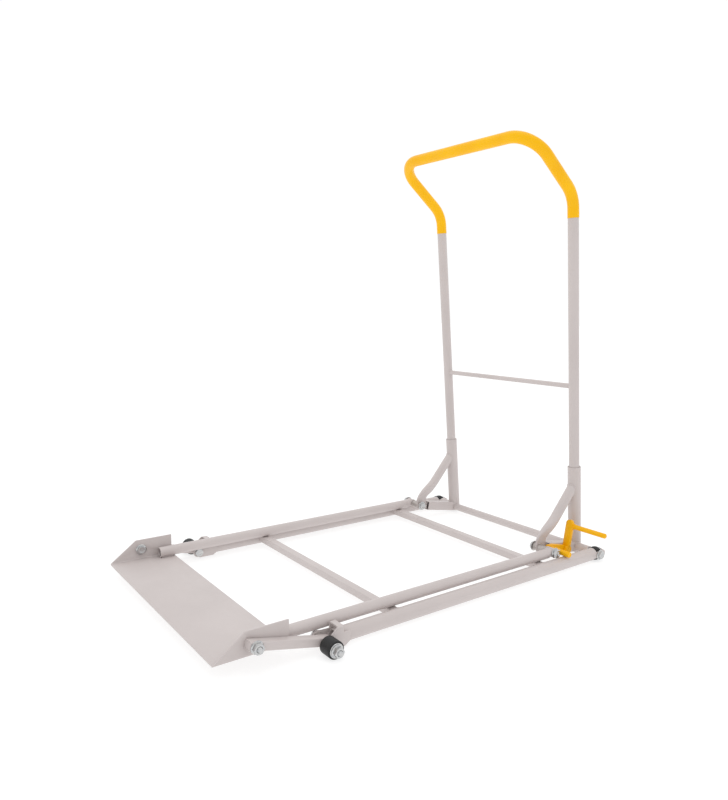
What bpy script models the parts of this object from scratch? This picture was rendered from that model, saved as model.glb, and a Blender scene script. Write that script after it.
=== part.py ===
"""Sit-to-stand aid: a low wheeled frame with a lifting toe plate and a tall leaning handle.

Metres, +Z up, floor at Z = 0. The toe plate points to -Y and the handle stands at +Y.
Left means +X, the side of the foot pedal, as seen by a person who stands behind the handle.
The pose is the lowered one: the lift frame lies on the cross bars of the base.
"""

import math

import bmesh
import bpy
from mathutils import Vector

# Clearances
WELD_GAP = 0.0003
RUNNING_GAP = 0.0003
REST_GAP = 0.0006
OPEN_PIVOT_GAP = 0.0014

# How far a cutter reaches past what it cuts
CUTTER_REACH = 0.03

# Facets round each kind of round form
TUBE_SIDES = 24
COPE_SIDES = 32
FASTENER_SIDES = 18
HANDLE_SIDES = 16
HANDLE_BEND_STEPS = 6
FOLD_STEPS = 6
NOSE_STEPS = 12
FLANGE_CORNER_STEPS = 5
PEDAL_HEAD_STEPS = 10
LUG_STEPS = 6
PRESS_STEPS = 6
SMOOTH_ANGLE = math.radians(35)

# Toe plate, folded from sheet
PLATE_HALF_WIDTH = 0.2795
PLATE_FRONT_Y = -0.520
PLATE_DEPTH = 0.143
PLATE_THICKNESS = 0.003
PLATE_FOLD_RADIUS = 0.003
FLANGE_HEIGHT = 0.048
FLANGE_SLOPE_LENGTH = 0.059
FLANGE_CORNER_RADIUS = 0.008

# Lift tubes, which lie on the plate and carry the load
LIFT_TUBE_RADIUS = 0.0127
LIFT_TUBE_WALL = 0.002
LIFT_TUBE_INSET = 0.0195
LIFT_TUBE_SETBACK = 0.107
LIFT_TUBE_END_BEFORE_BOLT = 0.005
LIFT_BUSHING_RADIUS = 0.010

# Base rails, rollers and axles
ROLLER_RADIUS = 0.017
REAR_AXLE_Y = 0.498
RAIL_RADIUS = 0.015
RAIL_WALL = 0.002
RAIL_FRONT_SETBACK = 0.024
RAIL_END_PAST_AXLE = 0.022
FRONT_ROLLER_LENGTH = 0.026
REAR_ROLLER_LENGTH = 0.024
ROLLER_SIDE_GAP = 0.0004
ROLLER_EDGE = 0.0015
FORK_CLEARANCE = 0.0015

# Cross bars of the base
CROSSBAR_WIDTH = 0.020
CROSSBAR_HEIGHT = 0.015
CROSSBAR_WALL = 0.0015
CROSSBAR_CORNER = 0.002
CROSSBAR_RISE = 0.0097
CROSSBAR_FRONT_Y = -0.134
CROSSBAR_REAR_Y = 0.309

# Folded brackets that hold the front axles
BRACKET_SHEET = 0.0027
BRACKET_TOP_RISE = 0.026
BRACKET_LENGTH = 0.044
BRACKET_NOSE_RADIUS = 0.0125
BRACKET_DROP = 0.0145
BRACKET_TAPER = 0.016
BRACKET_TAPER_DROP = 0.004
BRACKET_NOSE_END = 0.004
BRACKET_TUBE_GAP = 0.001

# Front links, square tube
LINK_WIDTH = 0.0195
LINK_HEIGHT = 0.020
LINK_WALL = 0.002
LINK_CORNER = 0.002
LINK_END = 0.013
FRONT_BOLT_SETBACK = 0.070
FRONT_BOLT_AHEAD = 0.137
FRONT_BOLT_RISE = 0.032

# Rear pivot of the lift frame on the handle frame
REAR_BOLT_AHEAD = 0.139
REAR_BOLT_ABOVE_TUBE = 0.001

# Bolts, nuts, washers and spacers, all of one thread size
BOLT_RADIUS = 0.005
HEX_ACROSS_FLATS = 0.016
HEAD_HEIGHT = 0.0064
NUT_HEIGHT = 0.0084
BOLT_TIP = 0.0027
WASHER_RADIUS = 0.010
WASHER_THICKNESS = 0.0016
FLANGE_THICKNESS = 0.0016
REAR_AXLE_TIP_GAP = 0.004
WIDE_WASHER_RADIUS = 0.014
SPACER_RADIUS = 0.0085
SIDE_SPACER_LENGTH = 0.0222
INNER_SPACER_LENGTH = 0.009

# Handle frame. Its own axes start at the rear axle and lean with the uprights
HANDLE_LEAN = math.radians(6.33)
UPRIGHT_SETBACK = 0.0053
SLEEVE_RADIUS = 0.016
SLEEVE_FOOT_DROP = 0.009
SLEEVE_TOP = 0.212
HANDLE_TUBE_RADIUS = 0.0125
HANDLE_TUBE_WALL = 0.002
HANDLE_TUBE_FOOT = 0.030
HANDLE_KNEE_HEIGHT = 0.8616
HANDLE_KNEE_ANGLE = math.radians(47.1)
HANDLE_KNEE_RADIUS = 0.069
HANDLE_ARM_LENGTH = 0.190
HANDLE_CORNER_RADIUS = 0.067
GRIP_THICKNESS = 0.0011
GRIP_FOOT_HEIGHT = 0.811
MID_BAR_HEIGHT = 0.416
MID_BAR_RADIUS = 0.006
BOTTOM_BAR_SIZE = 0.025
BOTTOM_BAR_WALL = 0.002
BOTTOM_BAR_CORNER = 0.003
BOTTOM_BAR_LUG_GAP = 0.0015
REAR_CROSSBAR_RADIUS = 0.010
REAR_CROSSBAR_WALL = 0.002
COLLAR_RADIUS = 0.0125

# Braces: round tube, pressed flat and bent upright at the foot
BRACE_RADIUS = 0.012
BRACE_LUG_THICKNESS = 0.005
BRACE_LUG_WIDTH = 0.026
BRACE_KNEE_RISE = 0.018
BRACE_JOINT_HEIGHT = 0.160
BRACE_PRESS_LENGTH = 0.034

# Foot pedal
PEDAL_PIN_RADIUS = 0.005
PEDAL_PIN_HEAD_RADIUS = 0.008
PEDAL_PIN_HEAD_HEIGHT = 0.002
PEDAL_PIN_TIP_SINK = 0.001
PEDAL_PIN_BEHIND_BOLT = 0.081
PEDAL_ARM_WIDTH = 0.018
PEDAL_ARM_THICKNESS = 0.009
PEDAL_ARM_LENGTH = 0.074
PEDAL_ARM_LEAN = math.radians(9.0)
PEDAL_BOSS_RADIUS = 0.010
PEDAL_ROD_RADIUS = 0.006
PEDAL_ROD_END_X = 0.344
PEDAL_ROD_FROM_TOP = 0.016
PEDAL_HOOK_WIDTH = 0.010
PEDAL_HOOK_HEIGHT = 0.011
PEDAL_HOOK_GAP = 0.0025
PEDAL_HOOK_CORNER = 0.002
PEDAL_STUB_RADIUS = 0.0055
PEDAL_STUB_REACH = 0.046
PEDAL_STUB_FORWARD = 0.036
PEDAL_STUB_GAP = 0.001
PEDAL_STUB_SINK = 0.004
PEDAL_STUB_OFFSET = 0.002
PEDAL_STUB_OVERSHOOT = 1.25

# Places that follow from the sizes above
AXLE_Z = ROLLER_RADIUS
FRONT_AXLE_Y = PLATE_FRONT_Y + FRONT_BOLT_SETBACK + FRONT_BOLT_AHEAD
FRONT_AXLE = Vector((0.0, FRONT_AXLE_Y, AXLE_Z))
REAR_AXLE = Vector((0.0, REAR_AXLE_Y, AXLE_Z))
CROSSBAR_TOP_Z = AXLE_Z + CROSSBAR_RISE
LIFT_TUBE_Z = CROSSBAR_TOP_Z + REST_GAP + LIFT_TUBE_RADIUS
LIFT_TUBE_X = PLATE_HALF_WIDTH - LIFT_TUBE_INSET
PLATE_TOP_Z = LIFT_TUBE_Z - LIFT_TUBE_RADIUS - WELD_GAP
PLATE_BOTTOM_Z = PLATE_TOP_Z - PLATE_THICKNESS
LINK_INNER_X = PLATE_HALF_WIDTH + RUNNING_GAP
LINK_OUTER_X = LINK_INNER_X + LINK_WIDTH
RAIL_X = LINK_OUTER_X + WASHER_THICKNESS + 2 * RUNNING_GAP - WELD_GAP - RAIL_RADIUS
FRONT_BOLT = FRONT_AXLE + Vector((0.0, -FRONT_BOLT_AHEAD, FRONT_BOLT_RISE))
REAR_BOLT = Vector((0.0, REAR_AXLE_Y - REAR_BOLT_AHEAD, LIFT_TUBE_Z + REAR_BOLT_ABOVE_TUBE))
UPRIGHT_X = LIFT_TUBE_X - LIFT_TUBE_RADIUS - SIDE_SPACER_LENGTH - 2 * RUNNING_GAP - BRACE_LUG_THICKNESS / 2
RAIL_FRONT_Y = FRONT_AXLE_Y + RAIL_FRONT_SETBACK
RAIL_REAR_Y = REAR_AXLE_Y + RAIL_END_PAST_AXLE
SIDES = (("left", 1.0), ("right", -1.0))
AXIS_X = Vector((1.0, 0.0, 0.0))


def clear_scene():
    """Remove every object, so that the script starts from nothing."""
    for obj in list(bpy.data.objects):
        bpy.data.objects.remove(obj, do_unlink=True)


def make_material(name, colour, roughness, metallic):
    """Return a Principled material."""
    material = bpy.data.materials.new(name)
    material.use_nodes = True
    shader = material.node_tree.nodes["Principled BSDF"]
    shader.inputs["Base Color"].default_value = (*colour, 1.0)
    shader.inputs["Roughness"].default_value = roughness
    shader.inputs["Metallic"].default_value = metallic
    return material


def coated_steel(name):
    """Light grey powder coat on steel."""
    return make_material(name + "_coat", (0.58, 0.55, 0.53), 0.35, 0.0)


def yellow_coat(name):
    """Yellow coat or sleeve."""
    return make_material(name + "_yellow", (0.94, 0.43, 0.01), 0.4, 0.0)


def black_polymer(name):
    """Black polyurethane of the rollers."""
    return make_material(name + "_black", (0.015, 0.015, 0.016), 0.55, 0.0)


def zinc_plate(name):
    """Bright zinc of the fasteners."""
    return make_material(name + "_zinc", (0.62, 0.62, 0.61), 0.3, 1.0)


def make_pivot(name, place):
    """Return an empty on a joint's axis. The pieces that turn there hang on it."""
    pivot = bpy.data.objects.new(name, None)
    pivot.location = place
    bpy.context.collection.objects.link(pivot)
    return pivot


def make_object(name, mesh_build, material, pivot):
    """Turn a bmesh in world coordinates into an object whose origin is at its pivot."""
    bmesh.ops.remove_doubles(mesh_build, verts=mesh_build.verts, dist=1e-7)
    bmesh.ops.recalc_face_normals(mesh_build, faces=mesh_build.faces)
    bmesh.ops.translate(mesh_build, verts=mesh_build.verts, vec=-pivot.location)
    mesh = bpy.data.meshes.new(name)
    mesh_build.to_mesh(mesh)
    mesh_build.free()
    mesh.shade_smooth()
    mesh.set_sharp_from_angle(angle=SMOOTH_ANGLE)
    obj = bpy.data.objects.new(name, mesh)
    obj.parent = pivot
    if material:
        mesh.materials.append(material)
    bpy.context.collection.objects.link(obj)
    return obj


def cut(obj, cutters):
    """Subtract each cutter, which stays in the scene as a wire guide."""
    for number, (mesh_build, tag) in enumerate(cutters):
        cutter = make_object(f"{obj.name}_{tag}_{number}", mesh_build, None, obj.parent)
        cutter.hide_render = True
        cutter.display_type = "WIRE"
        modifier = obj.modifiers.new(f"{tag}_{number}", "BOOLEAN")
        modifier.operation = "DIFFERENCE"
        modifier.solver = "EXACT"
        modifier.object = cutter
    return obj


def loft(rings, closed=False):
    """Return a body through rings of equally many points, capped unless it closes on itself."""
    build = bmesh.new()
    loops = [[build.verts.new(point) for point in ring] for ring in rings]
    count = len(loops[0])
    pairs = list(zip(loops, loops[1:]))
    if closed:
        pairs.append((loops[-1], loops[0]))
    for first, second in pairs:
        for i in range(count):
            j = (i + 1) % count
            build.faces.new((first[i], first[j], second[j], second[i]))
    if not closed:
        build.faces.new(loops[0])
        build.faces.new(loops[-1])
    return build


def frame_at(direction):
    """Return two unit vectors square to a direction, the first one near the X axis."""
    along = direction.normalized()
    across = AXIS_X - along * along.dot(AXIS_X)
    if across.length < 1e-6:
        across = Vector((0.0, 1.0, 0.0))
    across.normalize()
    return across, along.cross(across)


def circle(centre, across, up, radius, sides):
    """Return a ring of points."""
    turns = [2 * math.pi * i / sides for i in range(sides)]
    return [centre + across * radius * math.cos(t) + up * radius * math.sin(t) for t in turns]


def rod(start, end, radius, sides=TUBE_SIDES):
    """Return a solid round bar."""
    across, up = frame_at(end - start)
    return loft([circle(start, across, up, radius, sides), circle(end, across, up, radius, sides)])


def pipe(start, end, outer, inner, sides=TUBE_SIDES):
    """Return a round tube with open ends."""
    across, up = frame_at(end - start)
    rings = [circle(p, across, up, r, sides) for p, r in
             ((start, outer), (end, outer), (end, inner), (start, inner))]
    return loft(rings, closed=True)


def x_rod(x0, x1, place, radius, sides=FASTENER_SIDES):
    """Return a solid round bar along X through a point of the side plane."""
    return rod(Vector((x0, place.y, place.z)), Vector((x1, place.y, place.z)), radius, sides)


def x_pipe(x0, x1, place, outer, inner, sides=FASTENER_SIDES):
    """Return a round tube along X through a point of the side plane."""
    return pipe(Vector((x0, place.y, place.z)), Vector((x1, place.y, place.z)), outer, inner, sides)


def x_prism(x0, x1, outline):
    """Return the body that a (y, z) outline sweeps along X."""
    return loft([[Vector((x, y, z)) for y, z in outline] for x in (x0, x1)])


def hexagon(x, place):
    """Return a ring of points on a hexagon square to X, with flats above and below."""
    ring = []
    step = 360 // FASTENER_SIDES
    for i in range(FASTENER_SIDES):
        turn = math.radians(step * i)
        off_flat = math.radians((step * i) % 60 - 30)
        radius = HEX_ACROSS_FLATS / 2 / math.cos(off_flat)
        ring.append(Vector((x, place.y + radius * math.cos(turn), place.z + radius * math.sin(turn))))
    return ring


def x_circle(x, place, radius, sides=FASTENER_SIDES):
    """Return a ring of points square to X."""
    along = Vector((0.0, 1.0, 0.0))
    return circle(Vector((x, place.y, place.z)), along, Vector((0.0, 0.0, 1.0)), radius, sides)


def arc(centre, radius, start, end, steps):
    """Return points of an arc in a plane, angles in degrees."""
    angles = [math.radians(start + (end - start) * i / steps) for i in range(steps + 1)]
    return [(centre[0] + radius * math.cos(a), centre[1] + radius * math.sin(a)) for a in angles]


def rounded_rectangle(width, height, corner, steps=3):
    """Return the outline of a rectangle about the origin with rounded corners."""
    points = []
    for sx, sy, start in ((1, 1, 0), (-1, 1, 90), (-1, -1, 180), (1, -1, 270)):
        centre = (sx * (width / 2 - corner), sy * (height / 2 - corner))
        points += arc(centre, corner, start, start + 90, steps)
    return points


def box_section(start, end, width, height, wall, corner):
    """Return a rectangular tube with open ends, its width along X where it can be."""
    across, up = frame_at(end - start)
    rings = []
    for place, inset in ((start, 0.0), (end, 0.0), (end, wall), (start, wall)):
        outline = rounded_rectangle(width - 2 * inset, height - 2 * inset, max(corner - inset, corner / 4))
        rings.append([place + across * a + up * b for a, b in outline])
    return loft(rings, closed=True)


def y_box_section(x0, x1, y, z, width, height, wall, corner):
    """Return a rectangular tube that runs along X."""
    rings = []
    for x, inset in ((x0, 0.0), (x1, 0.0), (x1, wall), (x0, wall)):
        outline = rounded_rectangle(width - 2 * inset, height - 2 * inset, max(corner - inset, corner / 4))
        rings.append([Vector((x, y + a, z + b)) for a, b in outline])
    return loft(rings, closed=True)


def handle_point(x, forward, height):
    """Return the world place of a point given in the leaning axes of the handle frame."""
    lean_cos = math.cos(HANDLE_LEAN)
    lean_sin = math.sin(HANDLE_LEAN)
    return Vector((x,
                   REAR_AXLE_Y - forward * lean_cos - height * lean_sin,
                   AXLE_Z + height * lean_cos - forward * lean_sin))


def upright_point(side, height):
    """Return a point of an upright's centre line."""
    return handle_point(side * UPRIGHT_X, -UPRIGHT_SETBACK, height)


def upright_cutter(side, radius, tag):
    """Return a cutter round an upright's centre line, which copes what is welded to it."""
    low = upright_point(side, -SLEEVE_FOOT_DROP - CUTTER_REACH)
    high = upright_point(side, SLEEVE_TOP + CUTTER_REACH)
    return rod(low, high, radius, COPE_SIDES), tag


def toe_plate(pivot):
    """Sheet floor with a raised flange on each side, folded from one blank."""
    bend = PLATE_FOLD_RADIUS
    outer = bend + PLATE_THICKNESS
    edge = PLATE_HALF_WIDTH - outer
    top = PLATE_BOTTOM_Z + FLANGE_HEIGHT
    fold_z = PLATE_BOTTOM_Z + outer
    half = arc((edge, fold_z), outer, -90, 0, FOLD_STEPS)
    half += [(PLATE_HALF_WIDTH, top), (PLATE_HALF_WIDTH - PLATE_THICKNESS, top)]
    half += arc((edge, fold_z), bend, 0, -90, FOLD_STEPS)
    outline = half + [(-x, z) for x, z in reversed(half)]
    rear_y = PLATE_FRONT_Y + PLATE_DEPTH
    build = loft([[Vector((x, y, z)) for x, z in outline] for y in (PLATE_FRONT_Y, rear_y)])
    plate = make_object("toe_plate", build, coated_steel("toe_plate"), pivot)
    slope = math.degrees(math.atan2(FLANGE_HEIGHT - PLATE_THICKNESS, FLANGE_SLOPE_LENGTH))
    tangent = FLANGE_CORNER_RADIUS * math.tan(math.radians(slope / 2))
    corner_y = PLATE_FRONT_Y + FLANGE_SLOPE_LENGTH + tangent
    toe_tip = (PLATE_FRONT_Y - WELD_GAP, PLATE_TOP_Z)
    corner_z = top - FLANGE_CORNER_RADIUS
    round_off = arc((corner_y, corner_z), FLANGE_CORNER_RADIUS, 90 + slope, 90, FLANGE_CORNER_STEPS)
    ahead_y = PLATE_FRONT_Y - CUTTER_REACH
    above_z = top + CUTTER_REACH
    outline = [toe_tip] + round_off + [(corner_y, above_z), (ahead_y, above_z), (ahead_y, PLATE_TOP_Z)]
    reach = PLATE_HALF_WIDTH + CUTTER_REACH
    wedge = x_prism(-reach, reach, outline)
    holes = x_rod(-reach, reach, FRONT_BOLT, BOLT_RADIUS + WELD_GAP)
    return cut(plate, [(wedge, "flange_slope"), (holes, "bolt_holes")])


def lift_tube(name, side, pivot):
    """Long load tube, open at the toe end and coped to its pivot bushing at the other."""
    x = side * LIFT_TUBE_X
    start = Vector((x, PLATE_FRONT_Y + LIFT_TUBE_SETBACK, LIFT_TUBE_Z))
    end = Vector((x, REAR_BOLT.y - LIFT_TUBE_END_BEFORE_BOLT, LIFT_TUBE_Z))
    build = pipe(start, end, LIFT_TUBE_RADIUS, LIFT_TUBE_RADIUS - LIFT_TUBE_WALL)
    tube = make_object(f"lift_tube_{name}", build, coated_steel("lift_tube"), pivot)
    cope = x_rod(x - CUTTER_REACH, x + CUTTER_REACH, REAR_BOLT, LIFT_BUSHING_RADIUS + WELD_GAP, TUBE_SIDES)
    return cut(tube, [(cope, "bushing_cope")])


def lift_bushing(name, side, pivot):
    """Bushing across a load tube's end, in which the long bolt turns."""
    x0 = side * (LIFT_TUBE_X - LIFT_TUBE_RADIUS)
    x1 = side * (LIFT_TUBE_X + LIFT_TUBE_RADIUS)
    build = x_pipe(x0, x1, REAR_BOLT, LIFT_BUSHING_RADIUS, BOLT_RADIUS + RUNNING_GAP, TUBE_SIDES)
    return make_object(f"lift_bushing_{name}", build, coated_steel("lift_bushing"), pivot)


def rail(name, side, pivot):
    """Round base rail. Its rear end is slotted into a fork for the roller."""
    x = side * RAIL_X
    start = Vector((x, RAIL_FRONT_Y, AXLE_Z))
    end = Vector((x, RAIL_REAR_Y, AXLE_Z))
    tube = make_object(f"rail_{name}", pipe(start, end, RAIL_RADIUS, RAIL_RADIUS - RAIL_WALL),
                       coated_steel("rail"), pivot)
    half_slot = REAR_ROLLER_LENGTH / 2 + ROLLER_SIDE_GAP
    slot_front = REAR_AXLE_Y - ROLLER_RADIUS - FORK_CLEARANCE
    slot_rear = RAIL_REAR_Y + CUTTER_REACH
    slot_top = AXLE_Z + CUTTER_REACH
    slot_bottom = AXLE_Z - CUTTER_REACH
    slot = x_prism(x - half_slot, x + half_slot, [(slot_front, slot_bottom), (slot_front, slot_top),
                                                  (slot_rear, slot_top), (slot_rear, slot_bottom)])
    hole = x_rod(x - CUTTER_REACH, x + CUTTER_REACH, REAR_AXLE, BOLT_RADIUS + WELD_GAP)
    return cut(tube, [(slot, "roller_slot"), (hole, "axle_hole")])


def crossbar(name, y, pivot):
    """Flat box tube between the rails, coped to their round sides."""
    reach = RAIL_X - RAIL_RADIUS / 2
    z = CROSSBAR_TOP_Z - CROSSBAR_HEIGHT / 2
    build = y_box_section(-reach, reach, y, z, CROSSBAR_WIDTH, CROSSBAR_HEIGHT, CROSSBAR_WALL,
                          CROSSBAR_CORNER)
    bar = make_object(f"crossbar_{name}", build, coated_steel("crossbar"), pivot)
    copes = []
    for tag, side in SIDES:
        axis_start = Vector((side * RAIL_X, y - CUTTER_REACH, AXLE_Z))
        axis_end = Vector((side * RAIL_X, y + CUTTER_REACH, AXLE_Z))
        copes.append((rod(axis_start, axis_end, RAIL_RADIUS + WELD_GAP, TUBE_SIDES), f"cope_{tag}"))
    return cut(bar, copes)


def cheek_outline(top):
    """Return the (y, z) outline of a bracket cheek with its round nose at the front axle."""
    bottom = AXLE_Z - BRACKET_DROP
    rear_y = RAIL_FRONT_Y + BRACKET_LENGTH
    nose = arc((FRONT_AXLE_Y, AXLE_Z), BRACKET_NOSE_RADIUS, 60, 270, NOSE_STEPS)
    tail = [(FRONT_AXLE_Y + BRACKET_NOSE_END, bottom), (rear_y - BRACKET_TAPER, bottom),
            (rear_y, AXLE_Z - BRACKET_TAPER_DROP), (rear_y, top)]
    return [(RAIL_FRONT_Y, top)] + nose + tail


def axle_bracket(name, side, pivot):
    """Folded bracket: outer cheek for the axle, top web over the rail and a short inner leg."""
    top = AXLE_Z + BRACKET_TOP_RISE
    cheek = RAIL_RADIUS + WELD_GAP
    leg = RAIL_X - (LIFT_TUBE_X + LIFT_TUBE_RADIUS + BRACKET_TUBE_GAP)
    x = side * RAIL_X
    build = x_prism(x - side * leg, x + side * (cheek + BRACKET_SHEET), cheek_outline(top))
    bracket = make_object(f"axle_bracket_{name}", build, coated_steel("axle_bracket"), pivot)
    front_y = FRONT_AXLE_Y - CUTTER_REACH
    rear_y = RAIL_REAR_Y
    low_z = AXLE_Z - CUTTER_REACH
    high_z = top + CUTTER_REACH
    channel_top = top - BRACKET_SHEET
    leg_inside = leg - BRACKET_SHEET
    leg_foot = AXLE_Z + math.sqrt(cheek ** 2 - leg_inside ** 2)
    notch = [(front_y, low_z), (front_y, high_z), (RAIL_FRONT_Y, high_z)]
    channel = x_prism(x - side * leg_inside, x + side * cheek,
                      notch + [(RAIL_FRONT_Y, channel_top), (rear_y, channel_top), (rear_y, low_z)])
    leg_cut = x_prism(x - side * (leg + CUTTER_REACH), x + side * cheek / 2,
                      notch + [(RAIL_FRONT_Y, leg_foot), (rear_y, leg_foot), (rear_y, low_z)])
    hole = x_rod(x, x + side * CUTTER_REACH, FRONT_AXLE, BOLT_RADIUS + WELD_GAP)
    return cut(bracket, [(channel, "channel"), (leg_cut, "leg_foot"), (hole, "axle_hole")])


def inner_cheek(name, side, pivot):
    """Flat plate on the rail's inner side, the other ear of the front axle."""
    outer_x = side * (RAIL_X - RAIL_RADIUS - WELD_GAP)
    build = x_prism(outer_x - side * BRACKET_SHEET, outer_x, cheek_outline(PLATE_TOP_Z))
    cheek = make_object(f"inner_cheek_{name}", build, coated_steel("inner_cheek"), pivot)
    hole = x_rod(outer_x - CUTTER_REACH, outer_x + CUTTER_REACH, FRONT_AXLE, BOLT_RADIUS + WELD_GAP)
    return cut(cheek, [(hole, "axle_hole")])


def roller(name, side, x0, x1, place, pivot):
    """Solid roller with eased edges and a plain bore."""
    low, high = sorted((side * x0, side * x1))
    bore = BOLT_RADIUS + RUNNING_GAP
    profile = [(low, bore), (low, ROLLER_RADIUS - ROLLER_EDGE), (low + ROLLER_EDGE, ROLLER_RADIUS),
               (high - ROLLER_EDGE, ROLLER_RADIUS), (high, ROLLER_RADIUS - ROLLER_EDGE), (high, bore)]
    up = Vector((0.0, 0.0, 1.0))
    along = Vector((0.0, 1.0, 0.0))
    rings = [circle(Vector((x, place.y, place.z)), along, up, radius, TUBE_SIDES) for x, radius in profile]
    return make_object(name, loft(rings, closed=True), black_polymer("roller"), pivot)


def front_link(name, side, pivot):
    """Square-tube link between the front axle and the toe plate's flange."""
    along = (FRONT_BOLT - FRONT_AXLE).normalized()
    x = side * (LINK_INNER_X + LINK_WIDTH / 2)
    start = Vector((x, FRONT_AXLE.y, FRONT_AXLE.z)) - along * LINK_END
    end = Vector((x, FRONT_BOLT.y, FRONT_BOLT.z)) + along * LINK_END
    build = box_section(start, end, LINK_WIDTH, LINK_HEIGHT, LINK_WALL, LINK_CORNER)
    link = make_object(f"front_link_{name}", build, coated_steel("front_link"), pivot)
    axle_hole = x_rod(x - CUTTER_REACH, x + CUTTER_REACH, FRONT_AXLE, BOLT_RADIUS + RUNNING_GAP)
    bolt_hole = x_rod(x - CUTTER_REACH, x + CUTTER_REACH, FRONT_BOLT, BOLT_RADIUS + OPEN_PIVOT_GAP)
    return cut(link, [(axle_hole, "axle_hole"), (bolt_hole, "bolt_hole")])


def sleeve(name, side, pivot):
    """Outer tube of an upright, which takes the handle tube."""
    start = upright_point(side, -SLEEVE_FOOT_DROP)
    end = upright_point(side, SLEEVE_TOP)
    build = pipe(start, end, SLEEVE_RADIUS, HANDLE_TUBE_RADIUS + WELD_GAP)
    return make_object(f"sleeve_{name}", build, coated_steel("sleeve"), pivot)


def bottom_bar(name, side, pivot):
    """Square tube from the brace's foot back to the upright's sleeve."""
    along = (REAR_BOLT - REAR_AXLE).normalized()
    front = REAR_BOLT - along * (BRACE_LUG_WIDTH / 2 + BOTTOM_BAR_LUG_GAP)
    x = side * UPRIGHT_X
    build = box_section(Vector((x, front.y, front.z)), Vector((x, REAR_AXLE.y, REAR_AXLE.z)),
                        BOTTOM_BAR_SIZE, BOTTOM_BAR_SIZE, BOTTOM_BAR_WALL, BOTTOM_BAR_CORNER)
    bar = make_object(f"bottom_bar_{name}", build, coated_steel("bottom_bar"), pivot)
    reach = side * BOTTOM_BAR_SIZE
    collar_cope = x_rod(x, x + reach, REAR_AXLE, COLLAR_RADIUS + WELD_GAP, TUBE_SIDES)
    crossbar_cope = x_rod(x - reach, x, REAR_AXLE, REAR_CROSSBAR_RADIUS + WELD_GAP, TUBE_SIDES)
    cutters = [upright_cutter(side, SLEEVE_RADIUS + WELD_GAP, "cope"), (collar_cope, "collar_cope"),
               (crossbar_cope, "crossbar_cope")]
    if side > 0:
        hole = x_rod(x - CUTTER_REACH, x + CUTTER_REACH, pedal_pin_place(), PEDAL_PIN_RADIUS + WELD_GAP)
        cutters.append((hole, "pin_hole"))
    return cut(bar, cutters)


def oval_ring(place, direction, half_thick, half_wide):
    """Return a ring on a pressed tube's section: two flat sides between round edges."""
    across, up = frame_at(direction)
    half_flat = max(half_wide - half_thick, 0.0)
    ring = []
    for i in range(TUBE_SIDES):
        turn = 2 * math.pi * (i + 0.5) / TUBE_SIDES
        rise = math.copysign(half_flat, math.sin(turn)) + half_thick * math.sin(turn)
        ring.append(place + across * half_thick * math.cos(turn) + up * rise)
    return ring


def brace(name, side, pivot):
    """Diagonal round tube whose foot is bent upright and pressed flat round the pivot bolt."""
    x = side * UPRIGHT_X
    lug = Vector((x, REAR_BOLT.y, REAR_BOLT.z))
    rise = Vector((0.0, 0.0, 1.0))
    knee = lug + rise * BRACE_KNEE_RISE
    head = upright_point(side, BRACE_JOINT_HEIGHT)
    slant = (head - knee).normalized()
    half_thin = BRACE_LUG_THICKNESS / 2
    half_lug = BRACE_LUG_WIDTH / 2
    press_end = knee + slant * BRACE_PRESS_LENGTH
    rings = []
    for i in range(LUG_STEPS + 1):
        turn = math.radians(-80 * (1 - i / LUG_STEPS))
        place = lug + rise * half_lug * math.sin(turn)
        rings.append(oval_ring(place, rise, half_thin, half_lug * math.cos(turn)))
    rings.append(oval_ring(lug.lerp(knee, 0.5), rise, half_thin, half_lug))
    rings.append(oval_ring(knee, rise + slant, half_thin, half_lug))
    for i in range(1, PRESS_STEPS + 1):
        share = i / PRESS_STEPS
        flat = 0.5 + 0.5 * math.cos(math.pi * share)
        half_thick = BRACE_RADIUS + (half_thin - BRACE_RADIUS) * flat
        half_wide = BRACE_RADIUS + (half_lug - BRACE_RADIUS) * flat
        rings.append(oval_ring(knee.lerp(press_end, share), slant, half_thick, half_wide))
    rings.append(oval_ring(head, slant, BRACE_RADIUS, BRACE_RADIUS))
    build = loft(rings)
    bmesh.ops.connect_verts_nonplanar(build, angle_limit=math.radians(0.01), faces=build.faces)
    tube = make_object(f"brace_{name}", build, coated_steel("brace"), pivot)
    hole = x_rod(x - CUTTER_REACH, x + CUTTER_REACH, REAR_BOLT, BOLT_RADIUS + WELD_GAP)
    return cut(tube, [upright_cutter(side, SLEEVE_RADIUS + WELD_GAP, "cope"), (hole, "bolt_hole")])


def rear_crossbar(pivot):
    """Round tube between the sleeves, on the axis of the rear axles."""
    inner = REAR_CROSSBAR_RADIUS - REAR_CROSSBAR_WALL
    build = x_pipe(-UPRIGHT_X, UPRIGHT_X, REAR_AXLE, REAR_CROSSBAR_RADIUS, inner, TUBE_SIDES)
    bar = make_object("rear_crossbar", build, coated_steel("rear_crossbar"), pivot)
    return cut(bar, [upright_cutter(side, SLEEVE_RADIUS + WELD_GAP, f"cope_{tag}") for tag, side in SIDES])


def hinge_collar(name, side, pivot):
    """Thick collar on the sleeve's outer side. It turns on the rear axle bolt."""
    x0 = side * UPRIGHT_X
    x1 = side * (RAIL_X - RAIL_RADIUS - RUNNING_GAP)
    build = x_pipe(x0, x1, REAR_AXLE, COLLAR_RADIUS, BOLT_RADIUS + RUNNING_GAP, TUBE_SIDES)
    collar = make_object(f"hinge_collar_{name}", build, coated_steel("hinge_collar"), pivot)
    return cut(collar, [upright_cutter(side, SLEEVE_RADIUS + WELD_GAP, "cope")])


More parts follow.
